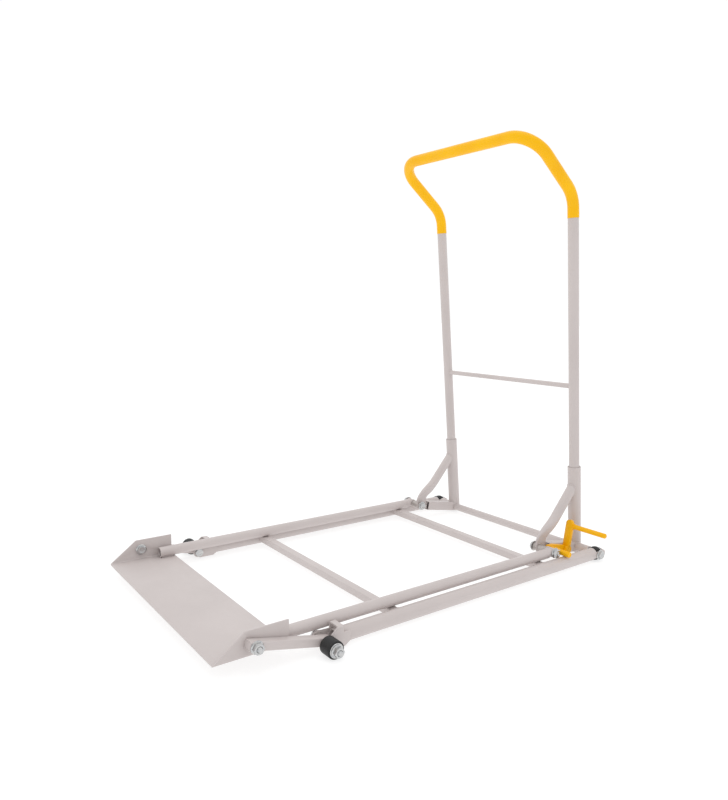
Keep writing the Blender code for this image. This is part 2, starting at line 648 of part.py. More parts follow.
def handle_path(foot_height, steps=HANDLE_BEND_STEPS):
    """Return points and directions of the handle's centre line from one foot to the other."""
    knee_cos = math.cos(HANDLE_KNEE_ANGLE)
    knee_sin = math.sin(HANDLE_KNEE_ANGLE)
    set_out = HANDLE_KNEE_RADIUS * math.tan(HANDLE_KNEE_ANGLE / 2)
    foot = (UPRIGHT_X, -UPRIGHT_SETBACK, foot_height)
    half = [(foot, (0.0, 0.0, 1.0))]
    for i in range(steps + 1):
        turn = HANDLE_KNEE_ANGLE * i / steps
        point = (UPRIGHT_X, -UPRIGHT_SETBACK + HANDLE_KNEE_RADIUS * (1 - math.cos(turn)),
                 HANDLE_KNEE_HEIGHT - set_out + HANDLE_KNEE_RADIUS * math.sin(turn))
        half.append((point, (0.0, math.sin(turn), math.cos(turn))))
    run = HANDLE_ARM_LENGTH - HANDLE_CORNER_RADIUS
    for i in range(steps + 1):
        turn = math.pi / 2 * i / steps
        reach = run + HANDLE_CORNER_RADIUS * math.sin(turn)
        point = (UPRIGHT_X - HANDLE_CORNER_RADIUS * (1 - math.cos(turn)),
                 -UPRIGHT_SETBACK + knee_sin * reach, HANDLE_KNEE_HEIGHT + knee_cos * reach)
        half.append((point, (-math.sin(turn), knee_sin * math.cos(turn), knee_cos * math.cos(turn))))
    other = [((-p[0], p[1], p[2]), (d[0], -d[1], -d[2])) for p, d in reversed(half)]
    origin = handle_point(0.0, 0.0, 0.0)
    return [(handle_point(*p), handle_point(*d) - origin) for p, d in half + other]


def handle_sweep(foot_height, outer, inner, sides=HANDLE_SIDES):
    """Return a round tube along the handle's centre line."""
    outside = []
    inside = []
    up = handle_point(0.0, 1.0, 0.0) - handle_point(0.0, 0.0, 0.0)
    for point, direction in handle_path(foot_height):
        along = direction.normalized()
        up = (up - along * up.dot(along)).normalized()
        across = up.cross(along)
        outside.append(circle(point, across, up, outer, sides))
        inside.append(circle(point, across, up, inner, sides))
    return loft(outside + list(reversed(inside)), closed=True)


def handle_tube(pivot):
    """One bent tube: two uprights, two knees, two corners and the top bar."""
    build = handle_sweep(HANDLE_TUBE_FOOT, HANDLE_TUBE_RADIUS, HANDLE_TUBE_RADIUS - HANDLE_TUBE_WALL)
    return make_object("handle_tube", build, coated_steel("handle_tube"), pivot)


def grip_sleeve(pivot):
    """Smooth yellow sleeve over the upper part of the handle."""
    inner = HANDLE_TUBE_RADIUS + WELD_GAP
    build = handle_sweep(GRIP_FOOT_HEIGHT, inner + GRIP_THICKNESS, inner)
    return make_object("grip_sleeve", build, yellow_coat("grip_sleeve"), pivot)


def handle_mid_bar(pivot):
    """Thin round bar between the uprights."""
    place = upright_point(0.0, MID_BAR_HEIGHT)
    build = x_rod(-UPRIGHT_X, UPRIGHT_X, place, MID_BAR_RADIUS)
    bar = make_object("handle_mid_bar", build, coated_steel("handle_mid_bar"), pivot)
    copes = []
    for tag, side in SIDES:
        low = upright_point(side, MID_BAR_HEIGHT - CUTTER_REACH)
        high = upright_point(side, MID_BAR_HEIGHT + CUTTER_REACH)
        copes.append((rod(low, high, HANDLE_TUBE_RADIUS + WELD_GAP, COPE_SIDES), f"cope_{tag}"))
    return cut(bar, copes)


def pedal_pin_place():
    """Return the pedal's pivot, on the bottom bar's centre line behind the long bolt."""
    along = (REAR_AXLE - REAR_BOLT).normalized()
    return REAR_BOLT + along * PEDAL_PIN_BEHIND_BOLT


def pedal_arm_point(length):
    """Return a point of the pedal arm's centre line."""
    pin = pedal_pin_place()
    return Vector((0.0, pin.y + length * math.sin(PEDAL_ARM_LEAN), pin.z + length * math.cos(PEDAL_ARM_LEAN)))


def pedal_inner_x():
    """Return the inner face of the pedal, beside the bottom bar."""
    return UPRIGHT_X + BOTTOM_BAR_SIZE / 2 + 2 * RUNNING_GAP


def pedal_arm(pivot):
    """Flat upright arm with a round head, and a boss at its foot for the pin."""
    x0 = pedal_inner_x()
    half_width = PEDAL_ARM_WIDTH / 2
    middle = x0 + half_width
    up = (pedal_arm_point(1.0) - pedal_arm_point(0.0)).normalized()
    back = AXIS_X.cross(up).normalized()
    straight = PEDAL_ARM_LENGTH - half_width
    outline = [(-half_width, 0.0), (half_width, 0.0)]
    outline += arc((0.0, straight), half_width, 0, 180, PEDAL_HEAD_STEPS)
    rings = []
    for depth in (-PEDAL_ARM_THICKNESS / 2, PEDAL_ARM_THICKNESS / 2):
        foot = pedal_arm_point(0.0)
        foot.x = middle
        rings.append([foot + AXIS_X * a + up * b + back * depth for a, b in outline])
    boss = x_rod(x0, x0 + PEDAL_ARM_WIDTH, pedal_pin_place(), PEDAL_BOSS_RADIUS, TUBE_SIDES)
    arm = make_object("pedal_arm", loft(rings), yellow_coat("pedal"), pivot)
    boss_object = make_object("pedal_arm_boss", boss, None, pivot)
    boss_object.hide_render = True
    boss_object.display_type = "WIRE"
    weld = arm.modifiers.new("boss", "BOOLEAN")
    weld.operation = "UNION"
    weld.solver = "EXACT"
    weld.object = boss_object
    hole = x_rod(middle - CUTTER_REACH, middle + CUTTER_REACH, pedal_pin_place(),
                 PEDAL_PIN_RADIUS + RUNNING_GAP)
    return cut(arm, [(hole, "pin_hole")])


def pedal_foot_rod(pivot):
    """Round rod that the foot pushes, square to the arm's outer edge."""
    place = pedal_arm_point(PEDAL_ARM_LENGTH - PEDAL_ROD_FROM_TOP)
    place.y += PEDAL_ARM_THICKNESS / 2
    start = pedal_inner_x() + PEDAL_ARM_WIDTH + WELD_GAP
    return make_object("pedal_foot_rod", x_rod(start, PEDAL_ROD_END_X, place, PEDAL_ROD_RADIUS),
                       yellow_coat("pedal"), pivot)


def pedal_hook(pivot):
    """Flat catch that lies over the long bolt's spacer."""
    x0 = pedal_inner_x()
    pin = pedal_pin_place()
    tip_y = REAR_BOLT.y + SPACER_RADIUS + PEDAL_HOOK_GAP
    tip_z = REAR_BOLT.z + PEDAL_HOOK_HEIGHT / 2
    start = Vector((x0 + PEDAL_HOOK_WIDTH / 2, pin.y, pin.z))
    end = Vector((x0 + PEDAL_HOOK_WIDTH / 2, tip_y, tip_z))
    along = (end - start).normalized()
    across, up = frame_at(along)
    outline = rounded_rectangle(PEDAL_HOOK_WIDTH, PEDAL_HOOK_HEIGHT, PEDAL_HOOK_CORNER)
    rings = [[place + across * a + up * b for a, b in outline] for place in (start, end)]
    hook = make_object("pedal_hook", loft(rings), yellow_coat("pedal"), pivot)
    round_seat = x_rod(x0 - CUTTER_REACH, x0 + CUTTER_REACH, pin, PEDAL_BOSS_RADIUS + WELD_GAP, TUBE_SIDES)
    return cut(hook, [(round_seat, "seat")])


def pedal_stub(pivot):
    """Short round prop from the boss out over the rail."""
    pin = pedal_pin_place()
    start = Vector((pedal_inner_x() + PEDAL_ARM_WIDTH - PEDAL_STUB_SINK, pin.y - PEDAL_STUB_OFFSET,
                    pin.z + PEDAL_STUB_OFFSET))
    clear_z = AXLE_Z + RAIL_RADIUS + PEDAL_STUB_RADIUS + PEDAL_STUB_GAP
    rise = max(clear_z - start.z, 0.0) * PEDAL_STUB_OVERSHOOT
    end = start + Vector((PEDAL_STUB_REACH, -PEDAL_STUB_FORWARD, rise))
    build = rod(start, end, PEDAL_STUB_RADIUS, FASTENER_SIDES)
    stub = make_object("pedal_stub", build, yellow_coat("pedal"), pivot)
    seat = x_rod(0.0, pedal_inner_x() + PEDAL_ARM_WIDTH + WELD_GAP, pin, PEDAL_BOSS_RADIUS + CUTTER_REACH)
    return cut(stub, [(seat, "seat")])


def bolt(name, side, head_x, tip_x, place, pivot):
    """Hexagon flange bolt. head_x is the bearing face and tip_x the thread's end."""
    outwards = math.copysign(1.0, head_x - tip_x)
    flange_x = side * (head_x + outwards * FLANGE_THICKNESS)
    end_x = side * (head_x + outwards * HEAD_HEIGHT)
    build = loft([hexagon(end_x, place), hexagon(flange_x, place),
                  x_circle(flange_x, place, WASHER_RADIUS), x_circle(side * head_x, place, WASHER_RADIUS),
                  x_circle(side * head_x, place, BOLT_RADIUS), x_circle(side * tip_x, place, BOLT_RADIUS)])
    return make_object(name, build, zinc_plate(name), pivot)


def nut(name, side, inner_x, place, pivot):
    """Hexagon flange nut that starts at inner_x and reaches outwards."""
    x0 = side * inner_x
    x1 = side * (inner_x + FLANGE_THICKNESS)
    x2 = side * (inner_x + NUT_HEIGHT)
    bore = BOLT_RADIUS + WELD_GAP
    build = loft([x_circle(x0, place, WASHER_RADIUS), x_circle(x1, place, WASHER_RADIUS), hexagon(x1, place),
                  hexagon(x2, place), x_circle(x2, place, bore), x_circle(x0, place, bore)], closed=True)
    return make_object(name, build, zinc_plate(name), pivot)


def washer(name, side, inner_x, radius, place, pivot):
    """Flat washer that starts at inner_x and reaches outwards."""
    build = x_pipe(side * inner_x, side * (inner_x + WASHER_THICKNESS), place, radius, BOLT_RADIUS + WELD_GAP)
    return make_object(name, build, zinc_plate(name), pivot)


def spacer(name, side, x0, x1, place, pivot):
    """Spacer tube between two faces."""
    build = x_pipe(side * x0, side * x1, place, SPACER_RADIUS, BOLT_RADIUS + WELD_GAP)
    return make_object(name, build, zinc_plate(name), pivot)


def front_pivot_fasteners(name, side, pivot):
    """Bolt and nut that join a flange of the toe plate to its link."""
    head_x = PLATE_HALF_WIDTH - PLATE_THICKNESS - WELD_GAP
    nut_x = LINK_OUTER_X + RUNNING_GAP
    bolt(f"front_pivot_bolt_{name}", side, head_x, nut_x + NUT_HEIGHT + BOLT_TIP, FRONT_BOLT, pivot)
    nut(f"front_pivot_nut_{name}", side, nut_x, FRONT_BOLT, pivot)


def front_roller_span():
    """Return the inner and outer end of a front roller along X."""
    inner = RAIL_X + RAIL_RADIUS + WELD_GAP + BRACKET_SHEET + ROLLER_SIDE_GAP
    return inner, inner + FRONT_ROLLER_LENGTH


def front_axle_fasteners(name, side, pivot):
    """Axle bolt, nut, washers and the spacer that centres the link in its bracket."""
    head_x = RAIL_X - RAIL_RADIUS - BRACKET_SHEET - 2 * WELD_GAP
    washer_x = front_roller_span()[1] + ROLLER_SIDE_GAP
    nut_x = washer_x + WASHER_THICKNESS + WELD_GAP
    bolt(f"front_axle_bolt_{name}", side, head_x, nut_x + NUT_HEIGHT + BOLT_TIP, FRONT_AXLE, pivot)
    nut(f"front_axle_nut_{name}", side, nut_x, FRONT_AXLE, pivot)
    washer(f"front_axle_washer_{name}", side, washer_x, WIDE_WASHER_RADIUS, FRONT_AXLE, pivot)
    washer(f"front_link_washer_{name}", side, LINK_OUTER_X + RUNNING_GAP, WASHER_RADIUS, FRONT_AXLE, pivot)
    spacer(f"front_link_spacer_{name}", side, RAIL_X - RAIL_RADIUS, LINK_INNER_X - RUNNING_GAP,
           FRONT_AXLE, pivot)


def rear_axle_bolt(name, side, pivot):
    """Bolt through the rail's fork. It carries the roller and the handle frame's collar."""
    head_x = RAIL_X + RAIL_RADIUS + WELD_GAP
    tip_x = UPRIGHT_X + SLEEVE_RADIUS + REAR_AXLE_TIP_GAP
    bolt(f"rear_axle_bolt_{name}", side, head_x, tip_x, REAR_AXLE, pivot)


def rear_pivot_fasteners(name, side, pivot):
    """Long bolt, nut and spacers between a brace's foot and its lift tube."""
    lug_inside = UPRIGHT_X - BRACE_LUG_THICKNESS / 2 - WELD_GAP
    lug_outside = UPRIGHT_X + BRACE_LUG_THICKNESS / 2 + RUNNING_GAP
    spacer_x = lug_inside - INNER_SPACER_LENGTH
    nut_x = LIFT_TUBE_X + LIFT_TUBE_RADIUS + RUNNING_GAP
    tip_x = nut_x + NUT_HEIGHT + BOLT_TIP
    bolt(f"rear_pivot_bolt_{name}", side, spacer_x - WELD_GAP, tip_x, REAR_BOLT, pivot)
    nut(f"rear_pivot_nut_{name}", side, nut_x, REAR_BOLT, pivot)
    spacer(f"inner_spacer_{name}", side, spacer_x, lug_inside, REAR_BOLT, pivot)
    spacer(f"side_spacer_{name}", side, lug_outside, lug_outside + SIDE_SPACER_LENGTH, REAR_BOLT, pivot)


def pedal_pin(pivot):
    """Headed pin on which the pedal turns, through the left bottom bar."""
    place = pedal_pin_place()
    head_x = UPRIGHT_X - BOTTOM_BAR_SIZE / 2 - WELD_GAP
    tip_x = pedal_inner_x() + PEDAL_ARM_WIDTH - PEDAL_PIN_TIP_SINK
    build = loft([x_circle(head_x - PEDAL_PIN_HEAD_HEIGHT, place, PEDAL_PIN_HEAD_RADIUS),
                  x_circle(head_x, place, PEDAL_PIN_HEAD_RADIUS),
                  x_circle(head_x, place, PEDAL_PIN_RADIUS), x_circle(tip_x, place, PEDAL_PIN_RADIUS)])
    make_object("pedal_pin", build, zinc_plate("pedal_pin"), pivot)


def build_base(root):
    """Rails, cross bars, brackets and axles: the part that stays on the floor."""
    for name, side in SIDES:
        rail(name, side, root)
        axle_bracket(name, side, root)
        inner_cheek(name, side, root)
        front_axle_fasteners(name, side, root)
        rear_axle_bolt(name, side, root)
    crossbar("front", CROSSBAR_FRONT_Y, root)
    crossbar("rear", CROSSBAR_REAR_Y, root)


def build_lift_frame(pivot):
    """Toe plate and its two tubes."""
    toe_plate(pivot)
    for name, side in SIDES:
        lift_tube(name, side, pivot)
        lift_bushing(name, side, pivot)
        front_pivot_fasteners(name, side, pivot)


def build_handle_frame(pivot):
    """Everything that leans back with the handle."""
    for name, side in SIDES:
        bottom_bar(name, side, pivot)
        brace(name, side, pivot)
        sleeve(name, side, pivot)
        hinge_collar(name, side, pivot)
        rear_pivot_fasteners(name, side, pivot)
    rear_crossbar(pivot)
    handle_tube(pivot)
    handle_mid_bar(pivot)
    grip_sleeve(pivot)
    pedal_pin(pivot)


def build_pedal(pivot):
    """Arm, foot rod, hook and stub, welded together."""
    pedal_arm(pivot)
    pedal_foot_rod(pivot)
    pedal_hook(pivot)
    pedal_stub(pivot)


def build_rollers():
    """Two rollers outside the front brackets and two in the forks of the rails."""
    front_in, front_out = front_roller_span()
    for name, side in SIDES:
        front = make_pivot(f"front_roller_{name}_pivot", FRONT_AXLE)
        roller(f"front_roller_{name}", side, front_in, front_out, FRONT_AXLE, front)
        rear = make_pivot(f"rear_roller_{name}_pivot", REAR_AXLE)
        half = REAR_ROLLER_LENGTH / 2
        roller(f"rear_roller_{name}", side, RAIL_X - half, RAIL_X + half, REAR_AXLE, rear)


def main():
    """Build every piece."""
    clear_scene()
    build_base(make_pivot("base_root", Vector((0.0, 0.0, 0.0))))
    build_lift_frame(make_pivot("lift_frame_pivot", REAR_BOLT))
    for name, side in SIDES:
        front_link(name, side, make_pivot(f"front_link_{name}_pivot", FRONT_AXLE))
    build_handle_frame(make_pivot("handle_frame_pivot", REAR_AXLE))
    build_pedal(make_pivot("pedal_pivot", pedal_pin_place()))
    build_rollers()


main()
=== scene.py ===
"""Sit-to-stand aid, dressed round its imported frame.

A low rolling frame of round rails, two load tubes with a folded toe plate, and a tall leaning tube handle
with a yellow vinyl sleeve. Every piece is built in metres in the frame's own axes: +Z up, +Y from the toe
plate to the handle, +X towards the foot pedal. Left means +X.
"""

import logging
import math
from dataclasses import dataclass, field
from enum import Enum
from typing import Iterable, Sequence

import bmesh
import bpy
from mathutils import Matrix, Vector


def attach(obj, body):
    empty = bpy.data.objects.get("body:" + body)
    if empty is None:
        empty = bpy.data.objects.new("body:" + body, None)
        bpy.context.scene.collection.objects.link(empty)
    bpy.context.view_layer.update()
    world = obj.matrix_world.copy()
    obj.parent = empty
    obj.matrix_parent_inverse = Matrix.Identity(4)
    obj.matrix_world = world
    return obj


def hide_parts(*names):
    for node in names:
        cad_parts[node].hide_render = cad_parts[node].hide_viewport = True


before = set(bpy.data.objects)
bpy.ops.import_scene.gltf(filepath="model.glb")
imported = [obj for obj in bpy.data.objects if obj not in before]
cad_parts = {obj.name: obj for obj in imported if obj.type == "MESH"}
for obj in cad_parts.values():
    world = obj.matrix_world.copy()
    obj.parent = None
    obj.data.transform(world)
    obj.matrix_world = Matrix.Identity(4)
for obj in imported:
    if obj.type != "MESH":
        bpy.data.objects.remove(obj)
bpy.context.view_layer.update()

LOG = logging.getLogger("sit_to_stand_aid")

Build = bmesh.types.BMesh
Tree = bpy.types.NodeTree
Socket = bpy.types.NodeSocket
Ring = list[Vector]
Station = tuple[float, float]

AXIS_X = Vector((1.0, 0.0, 0.0))
AXIS_Y = Vector((0.0, 1.0, 0.0))
AXIS_Z = Vector((0.0, 0.0, 1.0))
WHITE = (1.0, 1.0, 1.0, 1.0)

# The gap between seated pieces, how far a cutter reaches to both sides of its work, how far a shape that is
# cut runs past its cut, and how much a sawn rim is eased
WELD_GAP = 0.0003
REACH = 0.03
SPARE = 0.01
RIM = 0.0005


class Side(Enum):
    """The two sides of the aid, with the sign of their X."""

    LEFT = 1.0
    RIGHT = -1.0


class Slot(Enum):
    """Material slots, one carried by each finish."""

    GREY_COAT = "grey_coat"
    YELLOW_COAT = "yellow_coat"
    YELLOW_GRIP = "yellow_grip"
    ROLLER = "roller_polymer"
    ZINC = "zinc_plate"


def linear(hex_code: str) -> tuple[float, float, float, float]:
    """Turn an sRGB hex colour into linear RGBA.

    Args:
        hex_code: six hex digits, without a sign before them.

    Returns:
        Red, green, blue and alpha, 0 to 1.
    """
    parts = [int(hex_code[i:i + 2], 16) / 255 for i in (0, 2, 4)]
    red, green, blue = [v / 12.92 if v <= 0.04045 else ((v + 0.055) / 1.055) ** 2.4 for v in parts]
    return red, green, blue, 1.0


def add_node(tree: Tree, kind: str, inputs: dict | None = None, **settings) -> bpy.types.Node:
    """Add one node.

    Args:
        tree: the material's or the world's tree.
        kind: the node's type name.
        inputs: socket name or number to a value, or to the socket that feeds it.
        settings: the node's own properties.

    Returns:
        The new node.
    """
    made = tree.nodes.new(kind)
    for key, value in settings.items():
        setattr(made, key, value)
    for key, value in (inputs or {}).items():
        if isinstance(value, Socket):
            tree.links.new(value, made.inputs[key])
        else:
            made.inputs[key].default_value = value
    return made


@dataclass(frozen=True)
class Pattern:
    """Soft noise: how wide its features are, how richly they break up, and which of its values count."""

    size_mm: float
    detail: float
    start: float = 0.3
    end: float = 0.7


@dataclass(frozen=True)
class Finish:
    """A surface: what it is made of and how that was done.

    Two close colours take turns in patches, the roughness wanders, and a relief catches the light.
    """

    name: str
    slot: Slot
    colour: str
    second: str
    roughness: float
    patches: Pattern
    wear: Pattern
    smoother: float
    rougher: float
    relief: tuple[Pattern, ...]
    relief_strength: float
    relief_depth_mm: float
    patch_share: float = 1.0
    sheen: float = 0.5
    metallic: float = 0.0

    def material(self) -> bpy.types.Material:
        """Make the material, or find it where it is made already.

        Returns:
            The material.
        """
        made = bpy.data.materials.get(self.name)
        if made:
            return made
        made = bpy.data.materials.new(self.name)
        made.use_nodes = True
        tree = made.node_tree
        tree.nodes.clear()
        place = add_node(tree, "ShaderNodeTexCoord").outputs["Object"]
        noises = []
        for pattern in (self.patches, self.wear, *self.relief):
            noises.append(add_node(tree, "ShaderNodeTexNoise", {
                "Vector": place, "Scale": 1000.0 / pattern.size_mm, "Detail": pattern.detail,
                "Roughness": 0.55}).outputs["Fac"])
        patch_noise, wear_noise, *heights = noises
        shares = []
        for noise, pattern, low, high in (
                (patch_noise, self.patches, 0.0, self.patch_share),
                (wear_noise, self.wear, self.roughness - self.smoother, self.roughness + self.rougher)):
            shares.append(add_node(tree, "ShaderNodeMapRange", {
                "Value": noise, "From Min": pattern.start, "From Max": pattern.end, "To Min": low,
                "To Max": high}).outputs["Result"])
        height = heights[0]
        for finer in heights[1:]:
            height = add_node(tree, "ShaderNodeMath", {0: height, 1: finer}, operation="ADD").outputs[0]
        colour = add_node(tree, "ShaderNodeMix", {
            "Factor": shares[0], 6: linear(self.colour), 7: linear(self.second)}, data_type="RGBA")
        bump = add_node(tree, "ShaderNodeBump", {
            "Height": height, "Strength": self.relief_strength, "Distance": self.relief_depth_mm / 1000.0})
        shader = add_node(tree, "ShaderNodeBsdfPrincipled", {
            "Base Color": colour.outputs[2], "Roughness": shares[1], "Normal": bump.outputs["Normal"],
            "Specular IOR Level": self.sheen, "Metallic": self.metallic})
        add_node(tree, "ShaderNodeOutputMaterial", {"Surface": shader.outputs["BSDF"]})
        return made


@dataclass(frozen=True)
class PowderCoat(Finish):
    """Polyester powder, sprayed on steel and baked.

    The film flows out while it bakes, which leaves an even colour, a soft gloss and a faint orange peel.
    Its thickness changes slowly, and a little dust lies on it.
    """

    sheen: float = 0.45
    patches: Pattern = Pattern(120.0, 2.0)
    wear: Pattern = Pattern(14.0, 4.0)
    smoother: float = 0.05
    rougher: float = 0.07
    # A real peel is 1 mm across, which a render of this size can't show, so it is drawn at twice that
    relief: tuple[Pattern, ...] = (Pattern(2.2, 1.0),)
    relief_strength: float = 0.06
    relief_depth_mm: float = 0.10


@dataclass(frozen=True)
class VinylSleeve(Finish):
    """Soft PVC, dipped over the tube: a smooth, wet-looking skin, wavy over a few centimetres.

    Hands leave broad duller patches on it.
    """

    sheen: float = 0.22
    patches: Pattern = Pattern(60.0, 3.0)
    wear: Pattern = Pattern(3.0, 3.0)
    smoother: float = 0.04
    rougher: float = 0.08
    relief: tuple[Pattern, ...] = (Pattern(26.0, 1.0), Pattern(3.0, 3.0))
    relief_strength: float = 0.12
    relief_depth_mm: float = 0.25


@dataclass(frozen=True)
class MouldedPolymer(Finish):
    """Black polyamide, injection moulded, with a spark-eroded grain and pale dust where it has rolled."""

    sheen: float = 0.25
    patches: Pattern = Pattern(9.0, 6.0, 0.52, 0.75)
    patch_share: float = 0.5
    wear: Pattern = Pattern(9.0, 6.0, 0.52, 0.75)
    smoother: float = 0.0
    rougher: float = 0.25
    # The mould's grain is about 0.3 mm, drawn at four times that so that it shows
    relief: tuple[Pattern, ...] = (Pattern(1.2, 2.0),)
    relief_strength: float = 0.25
    relief_depth_mm: float = 0.12


@dataclass(frozen=True)
class ZincPlate(Finish):
    """Steel with electroplated zinc, faintly blue from its passivation, which blooms in patches."""

    metallic: float = 1.0
    patches: Pattern = Pattern(7.0, 3.0)
    # The crystals of the plating are far finer, and are drawn at 0.9 mm so that they show
    wear: Pattern = Pattern(0.9, 2.0)
    smoother: float = 0.06
    rougher: float = 0.12
    relief: tuple[Pattern, ...] = (Pattern(0.9, 2.0),)
    relief_strength: float = 0.12
    relief_depth_mm: float = 0.06


GREY = PowderCoat("powder_coat_warm_grey", Slot.GREY_COAT, "CAC1BF", "C5BCBA", 0.38)
YELLOW = PowderCoat("powder_coat_signal_yellow", Slot.YELLOW_COAT, "F8BA00", "F2B000", 0.36, sheen=0.25)
VINYL = VinylSleeve("vinyl_sleeve_yellow", Slot.YELLOW_GRIP, "FBC000", "F6B600", 0.30)
POLYMER = MouldedPolymer("moulded_polyamide_black", Slot.ROLLER, "2A2A2B", "403F3B", 0.48)
ZINC = ZincPlate("zinc_plated_steel", Slot.ZINC, "CBCAC8", "B6B8BB", 0.17)
# Barrel-plated spacers come out dull, and show no clear reflection
DULL_ZINC = ZincPlate("dull_zinc_plated_steel", Slot.ZINC, "C6BFBB", "C0BBB8", 0.60)


def square_to(direction: Vector) -> tuple[Vector, Vector]:
    """Find two ways across a direction.

    Args:
        direction: the direction.

    Returns:
        Two unit vectors square to it, the first one near the X axis.
    """
    along = direction.normalized()
    across = AXIS_X - along * along.dot(AXIS_X)
    if across.length < 1e-6:
        across = AXIS_Y.copy()
    across.normalize()
    return across, along.cross(across)


def circle(centre: Vector, across: Vector, up: Vector, radius: float, sides: int) -> Ring:
    """Return a ring of points about a centre."""
    turns = [math.tau * i / sides for i in range(sides)]
    return [centre + across * radius * math.cos(t) + up * radius * math.sin(t) for t in turns]


def outlined(centre: Vector, across: Vector, up: Vector, outline: Sequence[Station]) -> Ring:
    """Return a flat outline drawn about a centre, along two ways."""
    return [centre + across * a + up * b for a, b in outline]


def loft(rings: Sequence[Ring], closed: bool = False) -> Build:
    """Skin rings of equally many points.

    Args:
        rings: the rings, in order.
        closed: whether the last ring joins the first; otherwise both ends are capped.

    Returns:
        The body.
    """
    build = bmesh.new()
    loops = [[build.verts.new(point) for point in ring] for ring in rings]
    count = len(loops[0])
    for first, second in zip(loops, loops[1:] + loops[:1] if closed else loops[1:]):
        for i in range(count):
            j = (i + 1) % count
            build.faces.new((first[i], first[j], second[j], second[i]))
    if not closed:
        build.faces.new(loops[0])
        build.faces.new(loops[-1])
    return build


def turned(start: Vector, direction: Vector, stations: Sequence[Station], closed: bool = False,
           sides: int = 48) -> Build:
    """Return what a lathe turns about a line.

    Args:
        start: a point of the axis.
        direction: the way along the axis.
        stations: distance along the axis and radius, in order round the section.
        closed: whether the section closes on itself, as a tube's does.
        sides: facets round the axis.

    Returns:
        The body.
    """
    along = direction.normalized()
    across, up = square_to(along)
    return loft([circle(start + along * d, across, up, r, sides) for d, r in stations], closed)


def pipe(start: Vector, end: Vector, outer: float, inner: float = 0.0, edge: float = RIM,
         sides: int = 48) -> Build:
    """Return a sawn tube, or a round bar where it has no bore, with eased rims.

    Args:
        start: middle of one end.
        end: middle of the other end.
        outer: outer radius.
        inner: the bore's radius.
        edge: how much the rims are eased.
        sides: facets round the axis.

    Returns:
        The body.
    """
    length = (end - start).length
    stations = [(0.0, outer - edge), (edge, outer), (length - edge, outer), (length, outer - edge)]
    if inner:
        stations += [(length, inner + edge), (length - edge, inner), (edge, inner), (0.0, inner + edge)]
    return turned(start, end - start, stations, bool(inner), sides)


def arc(centre: Station, radius: float, start: float, end: float, steps: int) -> list[Station]:
    """Return points of an arc in a plane, its angles in degrees."""
    angles = [math.radians(start + (end - start) * i / steps) for i in range(steps + 1)]
    return [(centre[0] + radius * math.cos(a), centre[1] + radius * math.sin(a)) for a in angles]


def rounded_rectangle(width: float, height: float, corner: float, steps: int = 6) -> list[Station]:
    """Draw a rectangle about the origin with rounded corners.

    Args:
        width: size along the first way.
        height: size along the second way.
        corner: radius of the corners.
        steps: facets in each corner.

    Returns:
        Its outline.
    """
    points: list[Station] = []
    for sx, sy, start in ((1, 1, 0), (-1, 1, 90), (-1, -1, 180), (1, -1, 270)):
        centre = (sx * (width / 2 - corner), sy * (height / 2 - corner))
        points += arc(centre, corner, start, start + 90, steps)
    return points


def box_tube(start: Vector, end: Vector, width: float, height: float, wall: float, corner: float) -> Build:
    """Return a rolled rectangular tube with eased rims.

    Args:
        start: middle of one end.
        end: middle of the other end.
        width: size near X, or along Y where the tube itself runs along X.
        height: the other size.
        wall: wall thickness.
        corner: outer corner radius.

    Returns:
        The body.
    """
    edge = 0.0004
    along = (end - start).normalized()
    across, up = square_to(along)
    length = (end - start).length
    rings = []
    for distance, inset in ((0.0, edge), (edge, 0.0), (length - edge, 0.0), (length, edge),
                            (length, wall - edge), (length - edge, wall), (edge, wall), (0.0, wall - edge)):
        outline = rounded_rectangle(width - 2 * inset, height - 2 * inset, max(corner - inset, corner / 4))
        rings.append(outlined(start + along * distance, across, up, outline))
    return loft(rings, closed=True)


def prism_x(x0: float, x1: float, outline: Sequence[Station]) -> Build:
    """Return the body that a (y, z) outline sweeps along X."""
    return loft([[Vector((x, y, z)) for y, z in outline] for x in (x0, x1)])


def prism_y(y0: float, y1: float, outline: Sequence[Station]) -> Build:
    """Return the body that an (x, z) outline sweeps along Y."""
    return loft([[Vector((x, y, z)) for x, z in outline] for y in (y0, y1)])


def window(x0: float, x1: float, y0: float, y1: float, z0: float, z1: float) -> Build:
    """Return the cutter of a square-cornered opening."""
    return prism_x(x0, x1, [(y0, z0), (y0, z1), (y1, z1), (y1, z0)])


def at_x(x: float, place: Vector) -> Vector:
    """Return a point of the side plane moved to x."""
    return Vector((x, place.y, place.z))


def drill(x0: float, x1: float, place: Vector, radius: float, sides: int = 40) -> Build:
    """Return a plain round cutter along X."""
    section = [(0.0, radius), (abs(x1 - x0), radius)]
    return turned(at_x(x0, place), AXIS_X * (x1 - x0), section, False, sides)


def meet(point: Vector, direction: Vector, axis_point: Vector, axis: Vector, radius: float) -> Vector:
    """Return where a line from a point first meets a round tube.

    Args:
        point: start of the line.
        direction: the way along the line.
        axis_point: a point of the tube's axis.
        axis: the tube's direction.
        radius: the tube's radius.

    Returns:
        The meeting point, or the line's nearest point to the axis where it passes the tube by.
    """
    axis = axis.normalized()
    along = direction.normalized()
    gap = point - axis_point
    gap -= axis * gap.dot(axis)
    run = along - axis * along.dot(axis)
    a = run.dot(run)
    b = gap.dot(run)
    c = gap.dot(gap) - radius ** 2
    return point + along * (-b - math.sqrt(max(b * b - a * c, 0.0))) / a


